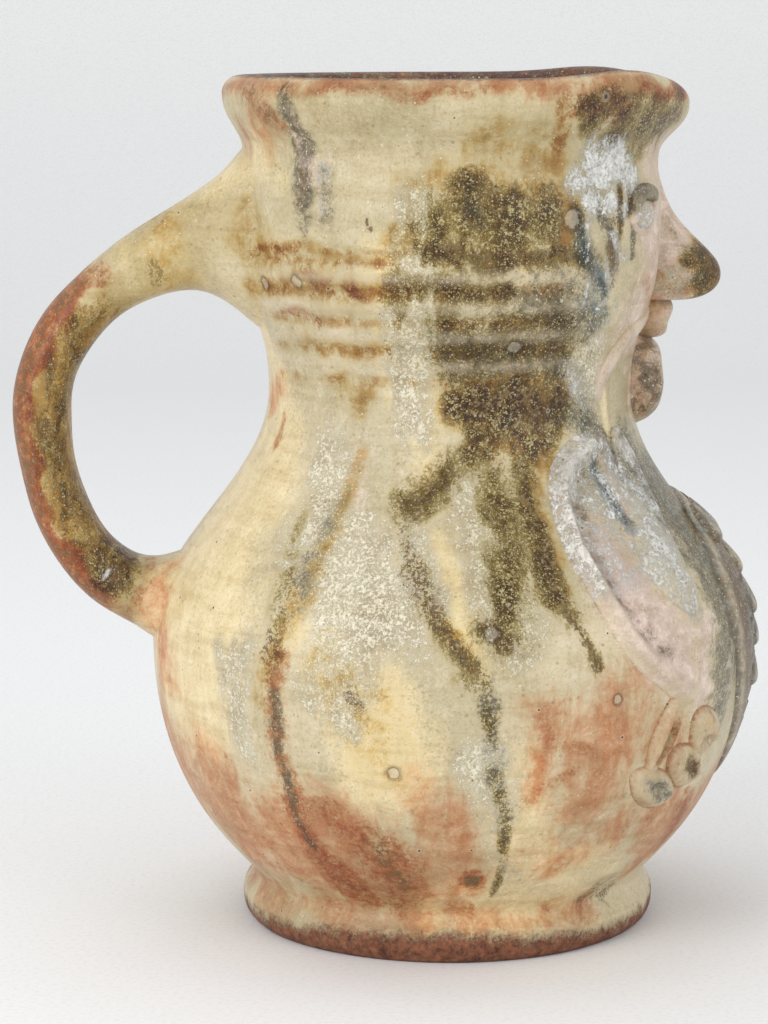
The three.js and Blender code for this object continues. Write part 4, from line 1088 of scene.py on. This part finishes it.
# Offsets back and up from the ankle in millimetres, length, width and turn in degrees; then shift,
# width and depth of the hollow, as shares of the leaf and its height, and the glaze that pooled in it.
toes = {
    "toe_1": (-13, 5.4, 19, 13, 24, -0.3, 0.42, 0.6, "iron"),
    "toe_2": (-6.3, -3, 21, 11.4, 30, 0.05, 0.5, 0.8, "olive"),
    "toe_3": (6.2, -6.8, 23, 10.4, 22, 0.05, 0.46, 0.9, "blue"),
    "hind_claw": (6.6, 8, 25, 9.4, 114, 0.05, 0.3, 0.9, "iron"),
}
ANKLE, ANKLE_LEVEL = 45, BELLY - 24.3
turned_by = np.linspace(0, 2 * np.pi, 80, endpoint=False)[None, :]
for name, (back, up, length, width, turn, shift, wide, depth, pooled) in toes.items():
    level = ANKLE_LEVEL + up
    azimuth = ANKLE + back / mm_per_degree(level)
    form = leaf(azimuth, level, length, width, turn=turn, pointed=0.45, sides=80)
    uneven = 1 + 0.06 * np.sin(2 * turned_by + up) + 0.05 * np.sin(3 * turned_by + back)
    form = [azimuth, level] + (form - [azimuth, level]) * uneven.T
    toe, share = pad_grid((azimuth, level), form, toe_height(shift, wide, depth), rows=40, skirt=0.2)
    inner = 1 - rise(share, 0.75, 1.0)
    core = hollow(share, turned_by, shift, wide * 1.1) * inner
    # At each toe's edge the pool and iron are painted shade in the crease, and the edge round its rim is
    # a painted highlight; the glaze in the hollow is its own.
    both_sides(name, toe, share, "clay", extra={
        "edge": 0.5 * bell(share - 0.72, 0.2) * (1 - core), "salmon": 0.3 * (1 - core), "veil": 0.5,
        "pool": 0.5 * core + 0.6 * rise(share, 0.9, 1.05)}, more={
        pooled: 0.8 * core, "crust": 0.36 * hollow(share, turned_by, shift, wide * 0.7) * inner,
        "iron": 0.6 * bell(share - 1.0, 0.1) + 0.4 * core})

# %% [markdown]
# ## Materials: helpers
# All materials are nodes, read from Object coordinates and the colour attributes, so nothing is
# painted on and nothing slides. Small helpers keep the node code short: one turns a colour as seen
# on a screen into the linear value that a shader mixes, one adds a node and plugs its inputs, a
# few stand for kinds of nodes, and the last start a group, fill its outputs and place it.

# %% Node helpers
def seen(red, green, blue):
    """A screen colour from 0 to 255 as a linear colour: ((c + 0.055) / 1.055) to the power 2.4."""
    c = np.array([red, green, blue]) / 255
    return (*(np.where(c <= 0.04045, c / 12.92, ((c + 0.055) / 1.055) ** 2.4)).tolist(), 1.0)


def add(tree, kind, inputs=None, **settings):
    """A node of that kind. Inputs are sockets to plug in or plain values, by name or number."""
    node = tree.nodes.new(kind)
    for key, value in settings.items():
        setattr(node, key, value)
    for key, value in (inputs or {}).items():
        socket = node.inputs[key]
        if isinstance(value, bpy.types.NodeSocket):
            tree.links.new(value, socket)
        else:
            socket.default_value = value
    return node


def maths(tree, operation, a, b=0.0, clamp=False):
    """The result of a Math node."""
    return add(tree, "ShaderNodeMath", {0: a, 1: b}, operation=operation, use_clamp=clamp).outputs[0]


def arithmetic(tree):
    """Product, sum and difference of two values, as functions that add a node to the tree."""
    def with_node(operation):
        return lambda a, b: maths(tree, operation, a, b)
    return with_node("MULTIPLY"), with_node("ADD"), with_node("SUBTRACT")


def eased(tree, value, low, high, start=0.0, end=1.0, curve="SMOOTHSTEP"):
    """The value mapped from low..high to start..end, smoothly unless the curve is LINEAR."""
    return add(tree, "ShaderNodeMapRange", {
        "Value": value, "From Min": low, "From Max": high, "To Min": start, "To Max": end},
        interpolation_type=curve).outputs["Result"]


def tinted(tree, factor, below, above, blend="MIX"):
    """Two colours mixed by a factor. The Mix node keeps its colours in inputs 6 and 7."""
    return add(tree, "ShaderNodeMix", {0: factor, 6: below, 7: above},
               data_type="RGBA", blend_type=blend).outputs[2]


def channels(tree, colour):
    """The red, green and blue of a colour."""
    return add(tree, "ShaderNodeSeparateColor", {"Color": colour}).outputs


def grain(tree, vector, scale, detail=4.0, roughness=0.6, distortion=0.0):
    """Noise from 0 to 1 at a scale in features a metre."""
    return add(tree, "ShaderNodeTexNoise", {
        "Vector": vector, "Scale": scale, "Detail": detail, "Roughness": roughness,
        "Distortion": distortion}).outputs["Fac"]


def cells_of(tree, given):
    """Cells of a Voronoi texture: the distance to each cell's seed, and three lots drawn for it."""
    cells = add(tree, "ShaderNodeTexVoronoi", {"Vector": given["Vector"], "Scale": given["Scale"]})
    return cells.outputs["Distance"], channels(tree, cells.outputs["Color"])


def group(name, inputs, outputs):
    """An empty group with named sockets, and its input and output nodes."""
    tree = bpy.data.node_groups.new(name, "ShaderNodeTree")
    for title, (kind, value) in inputs.items():
        socket = tree.interface.new_socket(title, in_out="INPUT", socket_type=kind)
        if value is not None:
            socket.default_value = value
    for title, kind in outputs.items():
        tree.interface.new_socket(title, in_out="OUTPUT", socket_type=kind)
    return tree, tree.nodes.new("NodeGroupInput").outputs, tree.nodes.new("NodeGroupOutput").inputs


def give(tree, sockets, **results):
    """Plugs results into the sockets of those names."""
    for name, value in results.items():
        tree.links.new(value, sockets[name])


def use(tree, inner, **inputs):
    """The outputs of a group placed in a tree, with its inputs given by name."""
    return add(tree, "ShaderNodeGroup", inputs, node_tree=inner).outputs


NUMBER, COLOUR, VECTOR = "NodeSocketFloat", "NodeSocketColor", "NodeSocketVector"

# %% [markdown]
# ## Effects that the glazes share
# Five effects recur on this jug, so each is a group. A melted edge breaks up a soft mask with two
# noises, a broad one and one of crumbs under a millimetre, because one glaze dissolves into
# crystals of the next. A stain darkens what lies below as coloured glass does: each channel is
# multiplied by its clearness once for every layer. Pinholes are the small craters that gas leaves
# as it escapes. A blister is one larger bubble that healed to a pale disc with a dark rim. Crystals
# are pale dots under half a millimetre, one for some of the cells of a cellular texture.

# %% Melted edge
melted, given, gives = group("melted edge", {
    "Mask": (NUMBER, 0.0), "Broad": (NUMBER, 0.5), "Crumb": (NUMBER, 0.5), "Ragged": (NUMBER, 1.0),
    "Crumbs": (NUMBER, 1.0), "Softness": (NUMBER, 0.12)}, {"Mask": NUMBER})
times, plus, minus = arithmetic(melted)
broken = times(minus(given["Broad"], 0.5), given["Ragged"])
fine = times(minus(given["Crumb"], 0.5), given["Crumbs"])
awake = eased(melted, given["Mask"], 0.0, 0.3, 0.0, 2.4)
torn = plus(given["Mask"], times(plus(broken, fine), awake))
low, high = minus(0.5, given["Softness"]), plus(0.5, given["Softness"])
give(melted, gives, Mask=eased(melted, torn, low, high))

# %% Stain
stained, given, gives = group("stained", {
    "Color": (COLOUR, None), "Clear": (COLOUR, (0.5, 0.5, 0.5, 1)), "Thickness": (NUMBER, 1.0)},
    {"Color": COLOUR})
clear = channels(stained, given["Clear"])
through = add(stained, "ShaderNodeCombineColor", {
    k: maths(stained, "POWER", clear[k], given["Thickness"]) for k in range(3)}).outputs[0]
give(stained, gives, Color=tinted(stained, 1.0, given["Color"], through, "MULTIPLY"))

# %% Pinholes
pinholes, given, gives = group("pinholes", {
    "Vector": (VECTOR, None), "Scale": (NUMBER, 130.0), "Density": (NUMBER, 0.16),
    "Size": (NUMBER, 0.07)}, {"Hole": NUMBER, "Rim": NUMBER})
times, plus, _ = arithmetic(pinholes)
away, lots = cells_of(pinholes, given)
chosen = maths(pinholes, "LESS_THAN", lots[0], given["Density"])
size = times(given["Size"], plus(lots[1], 0.4))
hole = eased(pinholes, away, size, times(size, 0.4))
rim = eased(pinholes, away, times(size, 2.4), size)
give(pinholes, gives, Hole=times(hole, chosen), Rim=times(rim, chosen))

# %% Blister
blister, given, gives = group("blister", {
    "Vector": (VECTOR, None), "Place": (VECTOR, None), "Radius": (NUMBER, 0.002)},
    {"Disc": NUMBER, "Rim": NUMBER})
times, plus, minus = arithmetic(blister)
reach = add(blister, "ShaderNodeVectorMath", {0: given["Vector"], 1: given["Place"]},
            operation="DISTANCE").outputs["Value"]
uneven = times(minus(grain(blister, given["Vector"], 420, 4), 0.5), 1.3)
share = plus(maths(blister, "DIVIDE", reach, given["Radius"]), uneven)
give(blister, gives, Disc=eased(blister, share, 1.05, 0.75),
     Rim=times(eased(blister, share, 1.6, 1.05), eased(blister, share, 0.7, 1.0)))

# %% Crystals
crystals, given, gives = group("crystals", {
    "Vector": (VECTOR, None), "Scale": (NUMBER, 1300.0), "Amount": (NUMBER, 0.3)}, {"Dots": NUMBER})
times, plus, minus = arithmetic(crystals)
away, lots = cells_of(crystals, given)
chosen = eased(crystals, minus(given["Amount"], lots[0]), -0.04, 0.04)
size = plus(times(lots[1], 0.35), 0.3)
give(crystals, gives, Dots=times(eased(crystals, away, size, times(size, 0.55)), chosen))

# %% [markdown]
# ## The ash glaze
# This group lays the colours over each other in the order in which they melted: the pale washes of
# cream, pink and frost first, salmon where the ash is thin and a clear film over them. Then come
# the clear dark runs of amber, olive, pools and iron, then slate and blue, then white and crust,
# and last the dots and specks. Pale washes fade into each other, and dark runs dissolve into
# crystals at their edge. Where glaze pools in a groove or a crease it turns darker and browner.
# The group also gives the roughness and a height in millimetres for the bump.
# The pool also stands in as painted shade in some creases and dents, and the edge channel is a painted
# highlight on crests.

# %% Ash glaze group: its sockets and grains
ash, given, gives = group("ash glaze", {
    "Vector": (VECTOR, None), **{key.capitalize(): (COLOUR, None) for key in LAYERS},
    "Ground": (COLOUR, seen(190, 178, 138)), "Speckling": (NUMBER, 0.5)},
    {"Color": COLOUR, "Roughness": NUMBER, "Height": NUMBER})
place = given["Vector"]
times, plus, minus = arithmetic(ash)
wash, run, splash, form, film = (channels(ash, given[key.capitalize()]) for key in LAYERS)
(cream, salmon, frost), (olive, amber, iron), (slate, white, pink) = wash, run, splash
(pool, painted_highlight, bare), (veil, crusty, blue) = form, film


def stretched(scale, turn=(0, 0, 0)):
    """The place scaled along each axis, so that a grain in it is drawn out where the scale is low."""
    return add(ash, "ShaderNodeMapping", {
        "Vector": place, "Scale": scale, "Rotation": turn}).outputs["Vector"]


ran, fall = stretched((1, 1, 0.42)), stretched((1, 1, 0.16))
slant, lines = stretched((1, 1, 0.4), (0.5, 0.4, 0)), stretched((0.12, 0.12, 1))
cloud = grain(ash, place, 30, 5, 0.6, 0.3)
broad = grain(ash, ran, 105, 7, 0.7, 0.5)
mottle = grain(ash, place, 170, 7, 0.74, 0.5)
streak = grain(ash, fall, 190, 6, 0.7)
wisp = grain(ash, slant, 90, 7, 0.7, 0.6)
fleck = grain(ash, place, 420, 5, 0.8)
crumb = grain(ash, place, 1150, 4, 0.85)
turning = grain(ash, lines, 420, 3, 0.5)


def spread(value, low, high, start=0.0, end=1.0):
    """A plain line from low..high to start..end, held at both ends."""
    return eased(ash, value, low, high, start, end, "LINEAR")


def mixed(share, below, above, blend="MIX"):
    """Two colours mixed in this group by a share of the second."""
    return tinted(ash, share, below, above, blend)


def darkened(colour, share, by):
    """The colour, with a share of it multiplied by another colour."""
    return mixed(share, colour, mixed(1.0, colour, by, "MULTIPLY"))


def edge_of(mask, by=None, ragged=1.0, crumbs=1.0, softness=0.3):
    """The mask melted by a broad noise, which a negative raggedness turns over, and by crumbs."""
    return use(ash, melted, Mask=mask, Broad=by or broad, Crumb=crumb,
               Ragged=ragged, Crumbs=crumbs, Softness=softness)["Mask"]


def over(colour, mask, dark, light, tones, **how):
    """An opaque glaze over the colour: its mask melted at the edge, and two tones mixed by a grain."""
    edge = edge_of(mask, **how)
    return mixed(edge, colour, mixed(spread(tones, 0.36, 0.64), dark, light)), edge


def stain(colour, mask, clear, depth, thin, thick, **how):
    """A clear coloured glaze over the colour, thicker and thinner by a grain."""
    edge = edge_of(mask, **how)
    layers = times(edge, spread(depth, 0.34, 0.66, thin, thick))
    return use(ash, stained, Color=colour, Clear=clear, Thickness=layers)["Color"], edge


# %% Pale washes
colour = mixed(spread(cloud, 0.35, 0.65), given["Ground"], seen(210, 196, 162))
colour = mixed(spread(streak, 0.5, 0.72, 0, 0.5), colour, seen(168, 146, 102))
colour = mixed(spread(mottle, 0.5, 0.66, 0, 0.5), colour, seen(218, 208, 184))
patches = plus(times(streak, 0.5), times(mottle, 0.5))
colour, cream_edge = over(colour, cream, seen(211, 190, 141), seen(237, 221, 180), patches,
                          ragged=0.9, crumbs=0.5, softness=0.45)
colour, pink_edge = over(colour, pink, seen(184, 160, 144), seen(230, 210, 197), mottle,
                         by=mottle, ragged=0.9, crumbs=0.7, softness=0.45)
colour, frost_edge = over(colour, frost, seen(166, 152, 122), seen(206, 198, 172), wisp,
                          ragged=-1.0, crumbs=0.9, softness=0.4)
crust = edge_of(times(frost_edge, 0.55), by=fleck, ragged=1.1, crumbs=1.2, softness=0.1)
grit = spread(crumb, 0.4, 0.6)
colour = mixed(times(crust, 0.8), colour, mixed(grit, seen(208, 196, 164), seen(234, 228, 208)))
colour, salmon_edge = stain(colour, salmon, (0.945, 0.705, 0.59, 1), wisp, 0.4, 1.6,
                            by=wisp, ragged=0.9, crumbs=0.4, softness=0.45)
deep = times(salmon_edge, spread(cloud, 0.4, 0.6, 0.3, 1))
colour, _ = stain(colour, deep, (0.83, 0.645, 0.55, 1), mottle, 1.7, 0.0,
                  by=fleck, ragged=0.9, crumbs=0.5, softness=0.45)
colour = darkened(colour, spread(turning, 0.5, 0.66, 0, 0.4), seen(226, 216, 196))
haze = times(veil, spread(wisp, 0.35, 0.65, 0.5, 1.5))
colour = use(ash, stained, Color=colour, Clear=(0.82, 0.8, 0.7, 1), Thickness=haze)["Color"]

# %% Clear dark runs: amber, olive, pools and rust
colour, _ = stain(colour, amber, (0.68, 0.5, 0.22, 1), streak, 0.6, 1.9,
                  by=mottle, ragged=1.0, crumbs=0.8, softness=0.45)
depth = plus(plus(times(mottle, 0.45), times(streak, 0.3)), times(crumb, 0.25))
colour, olive_edge = stain(colour, olive, (0.52, 0.44, 0.2, 1), depth, 0.7, 5.6,
                           ragged=1.3, crumbs=1.1, softness=0.4)
thin = minus(0.62, times(depth, 0.45))
crystal = edge_of(thin, by=fleck, ragged=1.2, crumbs=1.3, softness=0.1)
crystal = times(crystal, times(olive_edge, given["Speckling"]))
colour = mixed(times(crystal, 0.6), colour, mixed(grit, seen(162, 142, 80), seen(208, 192, 134)))
patchy = times(pool, spread(broad, 0.42, 0.58, 0.25, 1.0))
colour, _ = stain(colour, patchy, (0.68, 0.5, 0.3, 1), fleck, 0.6, 1.9,
                  by=mottle, ragged=1.1, crumbs=0.9, softness=0.45)
colour, iron_edge = stain(colour, iron, (0.74, 0.48, 0.33, 1), fleck, 0.5, 2.5,
                          by=mottle, ragged=1.2, crumbs=1.0, softness=0.4)

# %% Slate, white and crystals
colour, slate_edge = stain(colour, slate, (0.49, 0.49, 0.48, 1), fleck, 0.6, 2.7,
                           by=mottle, ragged=-1.2, crumbs=1.1, softness=0.4)
colour, _ = stain(colour, blue, (0.4, 0.52, 0.7, 1), fleck, 0.5, 2.4,
                  by=mottle, ragged=1.2, crumbs=1.1, softness=0.4)
colour, white_edge = over(colour, white, seen(182, 182, 177), seen(240, 240, 235), fleck,
                          by=mottle, ragged=1.1, crumbs=1.2, softness=0.25)
colour, _ = over(colour, crusty, seen(66, 48, 26), seen(120, 92, 52), fleck,
                 by=fleck, ragged=1.1, crumbs=1.3, softness=0.14)
zone = times(olive_edge, spread(mottle, 0.44, 0.6, 0.05, 0.6))
crystalline = ((frost_edge, spread(wisp, 0.4, 0.6, 0.2, 0.8)), (slate_edge, 0.2), (iron_edge, 0.04),
               (cream_edge, spread(mottle, 0.5, 0.62, 0, 0.25)), (pink_edge, 0.12))
for mask, share in crystalline:
    zone = maths(ash, "MAXIMUM", zone, times(mask, share))
zone = maths(ash, "MAXIMUM", zone, spread(mottle, 0.46, 0.64, 0.0, 0.07))
zone = times(zone, spread(maths(ash, "MAXIMUM", salmon_edge, iron_edge), 0, 1, 1, 0.1))
dots = use(ash, crystals, Vector=place, Scale=1750.0, Amount=times(zone, given["Speckling"]))["Dots"]
colour = mixed(times(dots, 0.65), colour, mixed(olive_edge, seen(238, 229, 200), seen(212, 190, 124)))
fewer = spread(mottle, 0.5, 0.3, 0.01, 0.22)
specks = use(ash, crystals, Vector=place, Scale=900.0, Amount=fewer)["Dots"]
colour = darkened(colour, times(specks, 0.4), seen(156, 134, 98))

# %% Painted highlight on crests, grains, holes, blisters and bare clay
# A painted highlight: pale cream wherever the edge channel is set, on ridges, rolls and crests.
painted_highlight_share = times(painted_highlight, spread(mottle, 0.35, 0.6, 0.1, 0.8))
colour = mixed(painted_highlight_share, colour, seen(204, 190, 164))
colour = darkened(colour, spread(crumb, 0.47, 0.3, 0, 0.5), seen(160, 142, 112))
colour = mixed(spread(crumb, 0.55, 0.7, 0, 0.3), colour, seen(236, 230, 212))
holes = use(ash, pinholes, Vector=place, Scale=230.0, Density=0.3, Size=0.075)
big = use(ash, pinholes, Vector=place, Scale=60.0, Density=0.2, Size=0.035)
hole = maths(ash, "MAXIMUM", holes["Hole"], big["Hole"])
hole_rim = maths(ash, "MAXIMUM", holes["Rim"], big["Rim"])
colour = mixed(times(hole_rim, 0.3), colour, seen(226, 214, 184))
colour = mixed(times(hole, 0.9), colour, seen(50, 38, 26))
# Azimuth, level and radius in millimetres of each blister that burst and healed over.
healed_at = [(75, 162.8, 2.0), (139, 179, 1.8), (155, 177.5, 1.8), (61, 196, 2.6), (104, 57, 1.8),
             (62, 74.5, 1.3), (36, 104, 1.8), (86, 93, 2.0), (-84, 150, 2.0), (-120, 88, 1.8)]
blisters = 0.0
for azimuth, level, radius in healed_at:
    spot = (on_wall(-azimuth, float(level)) / 1000).tolist()
    healed = use(ash, blister, Vector=place, Place=spot, Radius=radius / 1000)
    colour = mixed(times(healed["Disc"], 0.4), colour, seen(200, 192, 172))
    colour = darkened(colour, times(healed["Rim"], 0.45), seen(140, 116, 80))
    blisters = plus(blisters, minus(healed["Rim"], healed["Disc"]))
clay_tone = mixed(spread(fleck, 0.35, 0.65), seen(72, 40, 28), seen(146, 94, 66))
bare_edge = edge_of(bare, by=mottle, ragged=0.7, crumbs=0.6, softness=0.35)
colour = mixed(bare_edge, colour, clay_tone)
give(ash, gives, Color=colour)

# %% Roughness and height of the glaze
rough = spread(mottle, 0.35, 0.65, 0.3, 0.46)
for mask, more in ((salmon_edge, 0.1), (crust, 0.15), (olive_edge, -0.08), (bare_edge, 0.4)):
    rough = maths(ash, "ADD", rough, times(mask, more), clamp=True)
give(ash, gives, Roughness=rough)

height = times(fleck, 0.17)
reliefs = ((crumb, 0.05), (turning, 0.24), (cloud, 0.6), (mottle, 0.25), (olive_edge, 0.08),
           (iron_edge, 0.05), (white_edge, 0.12), (crust, 0.06), (crystal, 0.05), (hole, -0.35),
           (salmon_edge, -0.06), (bare_edge, -0.2), (hole_rim, 0.05), (dots, 0.03), (blisters, 0.25))
for mask, millimetres in reliefs:
    height = plus(height, times(mask, millimetres))
give(ash, gives, Height=height)

# %% [markdown]
# ## The seven finishes
# The record names seven finishes. Each is a Principled shader fed by the ash glaze group with its
# own ground colour and speckling. Gloss comes from a low roughness and a thin coat, set on the
# shader's own sockets because they are the same all over.

# %% Finishes
def finish(name, ground, speckling):
    """A material of the ash glaze over a ground colour, with a thin coat and a bump in millimetres."""
    material = bpy.data.materials.new(name)
    material.use_nodes = True
    tree = material.node_tree
    shader = tree.nodes["Principled BSDF"]
    place = add(tree, "ShaderNodeTexCoord").outputs["Object"]
    layers = {key.capitalize(): add(tree, "ShaderNodeAttribute", attribute_name=key).outputs["Color"]
              for key in LAYERS}
    glaze = use(tree, ash, Vector=place, Ground=ground, Speckling=speckling, **layers)
    relief = add(tree, "ShaderNodeBump", {
        "Height": glaze["Height"], "Strength": 1.0, "Distance": 0.001}).outputs["Normal"]
    give(tree, shader.inputs, **{
        "Base Color": glaze["Color"], "Roughness": glaze["Roughness"], "Normal": relief})
    for key, value in (("Coat Weight", 0.12), ("Coat Roughness", 0.2), ("Specular IOR Level", 0.32)):
        shader.inputs[key].default_value = value
    return material


finishes = {
    "ash": finish("ash glaze body", seen(184, 172, 138), 1.0),
    "iron": finish("handle glaze", seen(186, 168, 122), 0.7),
    "olive": finish("olive glaze", seen(176, 160, 124), 0.7),
    "clay": finish("thin glaze over clay", seen(192, 164, 134), 0.6),
    "grey": finish("grey glaze", seen(152, 150, 142), 0.6),
    "blue": finish("grey-blue glaze", seen(190, 187, 176), 0.6),
    "pink": finish("pale pink glaze", seen(204, 182, 162), 0.6),
}
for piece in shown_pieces():
    piece.data.materials.clear()
    piece.data.materials.append(finishes[piece["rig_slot"]])

# %% [markdown]
# ## Floor and backdrop
# The jug stands on pale cloth that runs up behind it. One sheet with a soft bend at the back
# shows no line between floor and wall. It is marked as stage, so that it isn't part of the jug.

# %% Floor and backdrop
bend = np.radians(np.linspace(0, 80, 24))
run = np.concatenate([[-1.6], np.linspace(-1.2, 1.3, 6), 1.3 + 0.9 * np.sin(bend)])
climb = np.concatenate([np.zeros(7), 0.9 * (1 - np.cos(bend))])
run, climb = np.append(run, 2.4), np.append(climb, 3.2)
across = np.linspace(-3, 3, 9)
sheet = np.stack(np.broadcast_arrays(across[None, :], run[:, None], climb[:, None]), -1)
here = np.arange(sheet.shape[0] * 9).reshape(-1, 9)
quads = np.stack([here[:-1, :-1], here[:-1, 1:], here[1:, 1:], here[1:, :-1]], -1).reshape(-1, 4)
mesh = bpy.data.meshes.new("backdrop")
mesh.from_pydata(sheet.reshape(-1, 3).tolist(), [], quads.tolist())
mesh.polygons.foreach_set("use_smooth", np.ones(len(quads), bool))
backdrop = bpy.data.objects.new("backdrop", mesh)
bpy.context.scene.collection.objects.link(backdrop)
backdrop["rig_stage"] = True
cloth = bpy.data.materials.new("pale cloth")
cloth.use_nodes = True
tree = cloth.node_tree
place = add(tree, "ShaderNodeTexCoord").outputs["Object"]
height = add(tree, "ShaderNodeSeparateXYZ", {"Vector": place}).outputs["Z"]
threads = grain(tree, place, 700, 2)
# The cloth is paler up the backdrop than on the floor: painted light.
tone = tinted(tree, eased(tree, height, 0.0, 0.5), seen(238, 239, 240), seen(251, 251, 250))
tone = tinted(tree, eased(tree, threads, 0.55, 0.3, 0, 0.5), tone, seen(224, 224, 224))
shader = tree.nodes["Principled BSDF"]
tree.links.new(tone, shader.inputs["Base Color"])
shader.inputs["Roughness"].default_value = 0.9
mesh.materials.append(cloth)

# %% Size, then finish
size = {"cad": cad_box, "visual": [list(corner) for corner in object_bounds()]}
corners = [corner for box in size.values() for corner in box]
print("CAD and visual box, mm:", [[round(1000 * v, 1) for v in corner] for corner in corners])
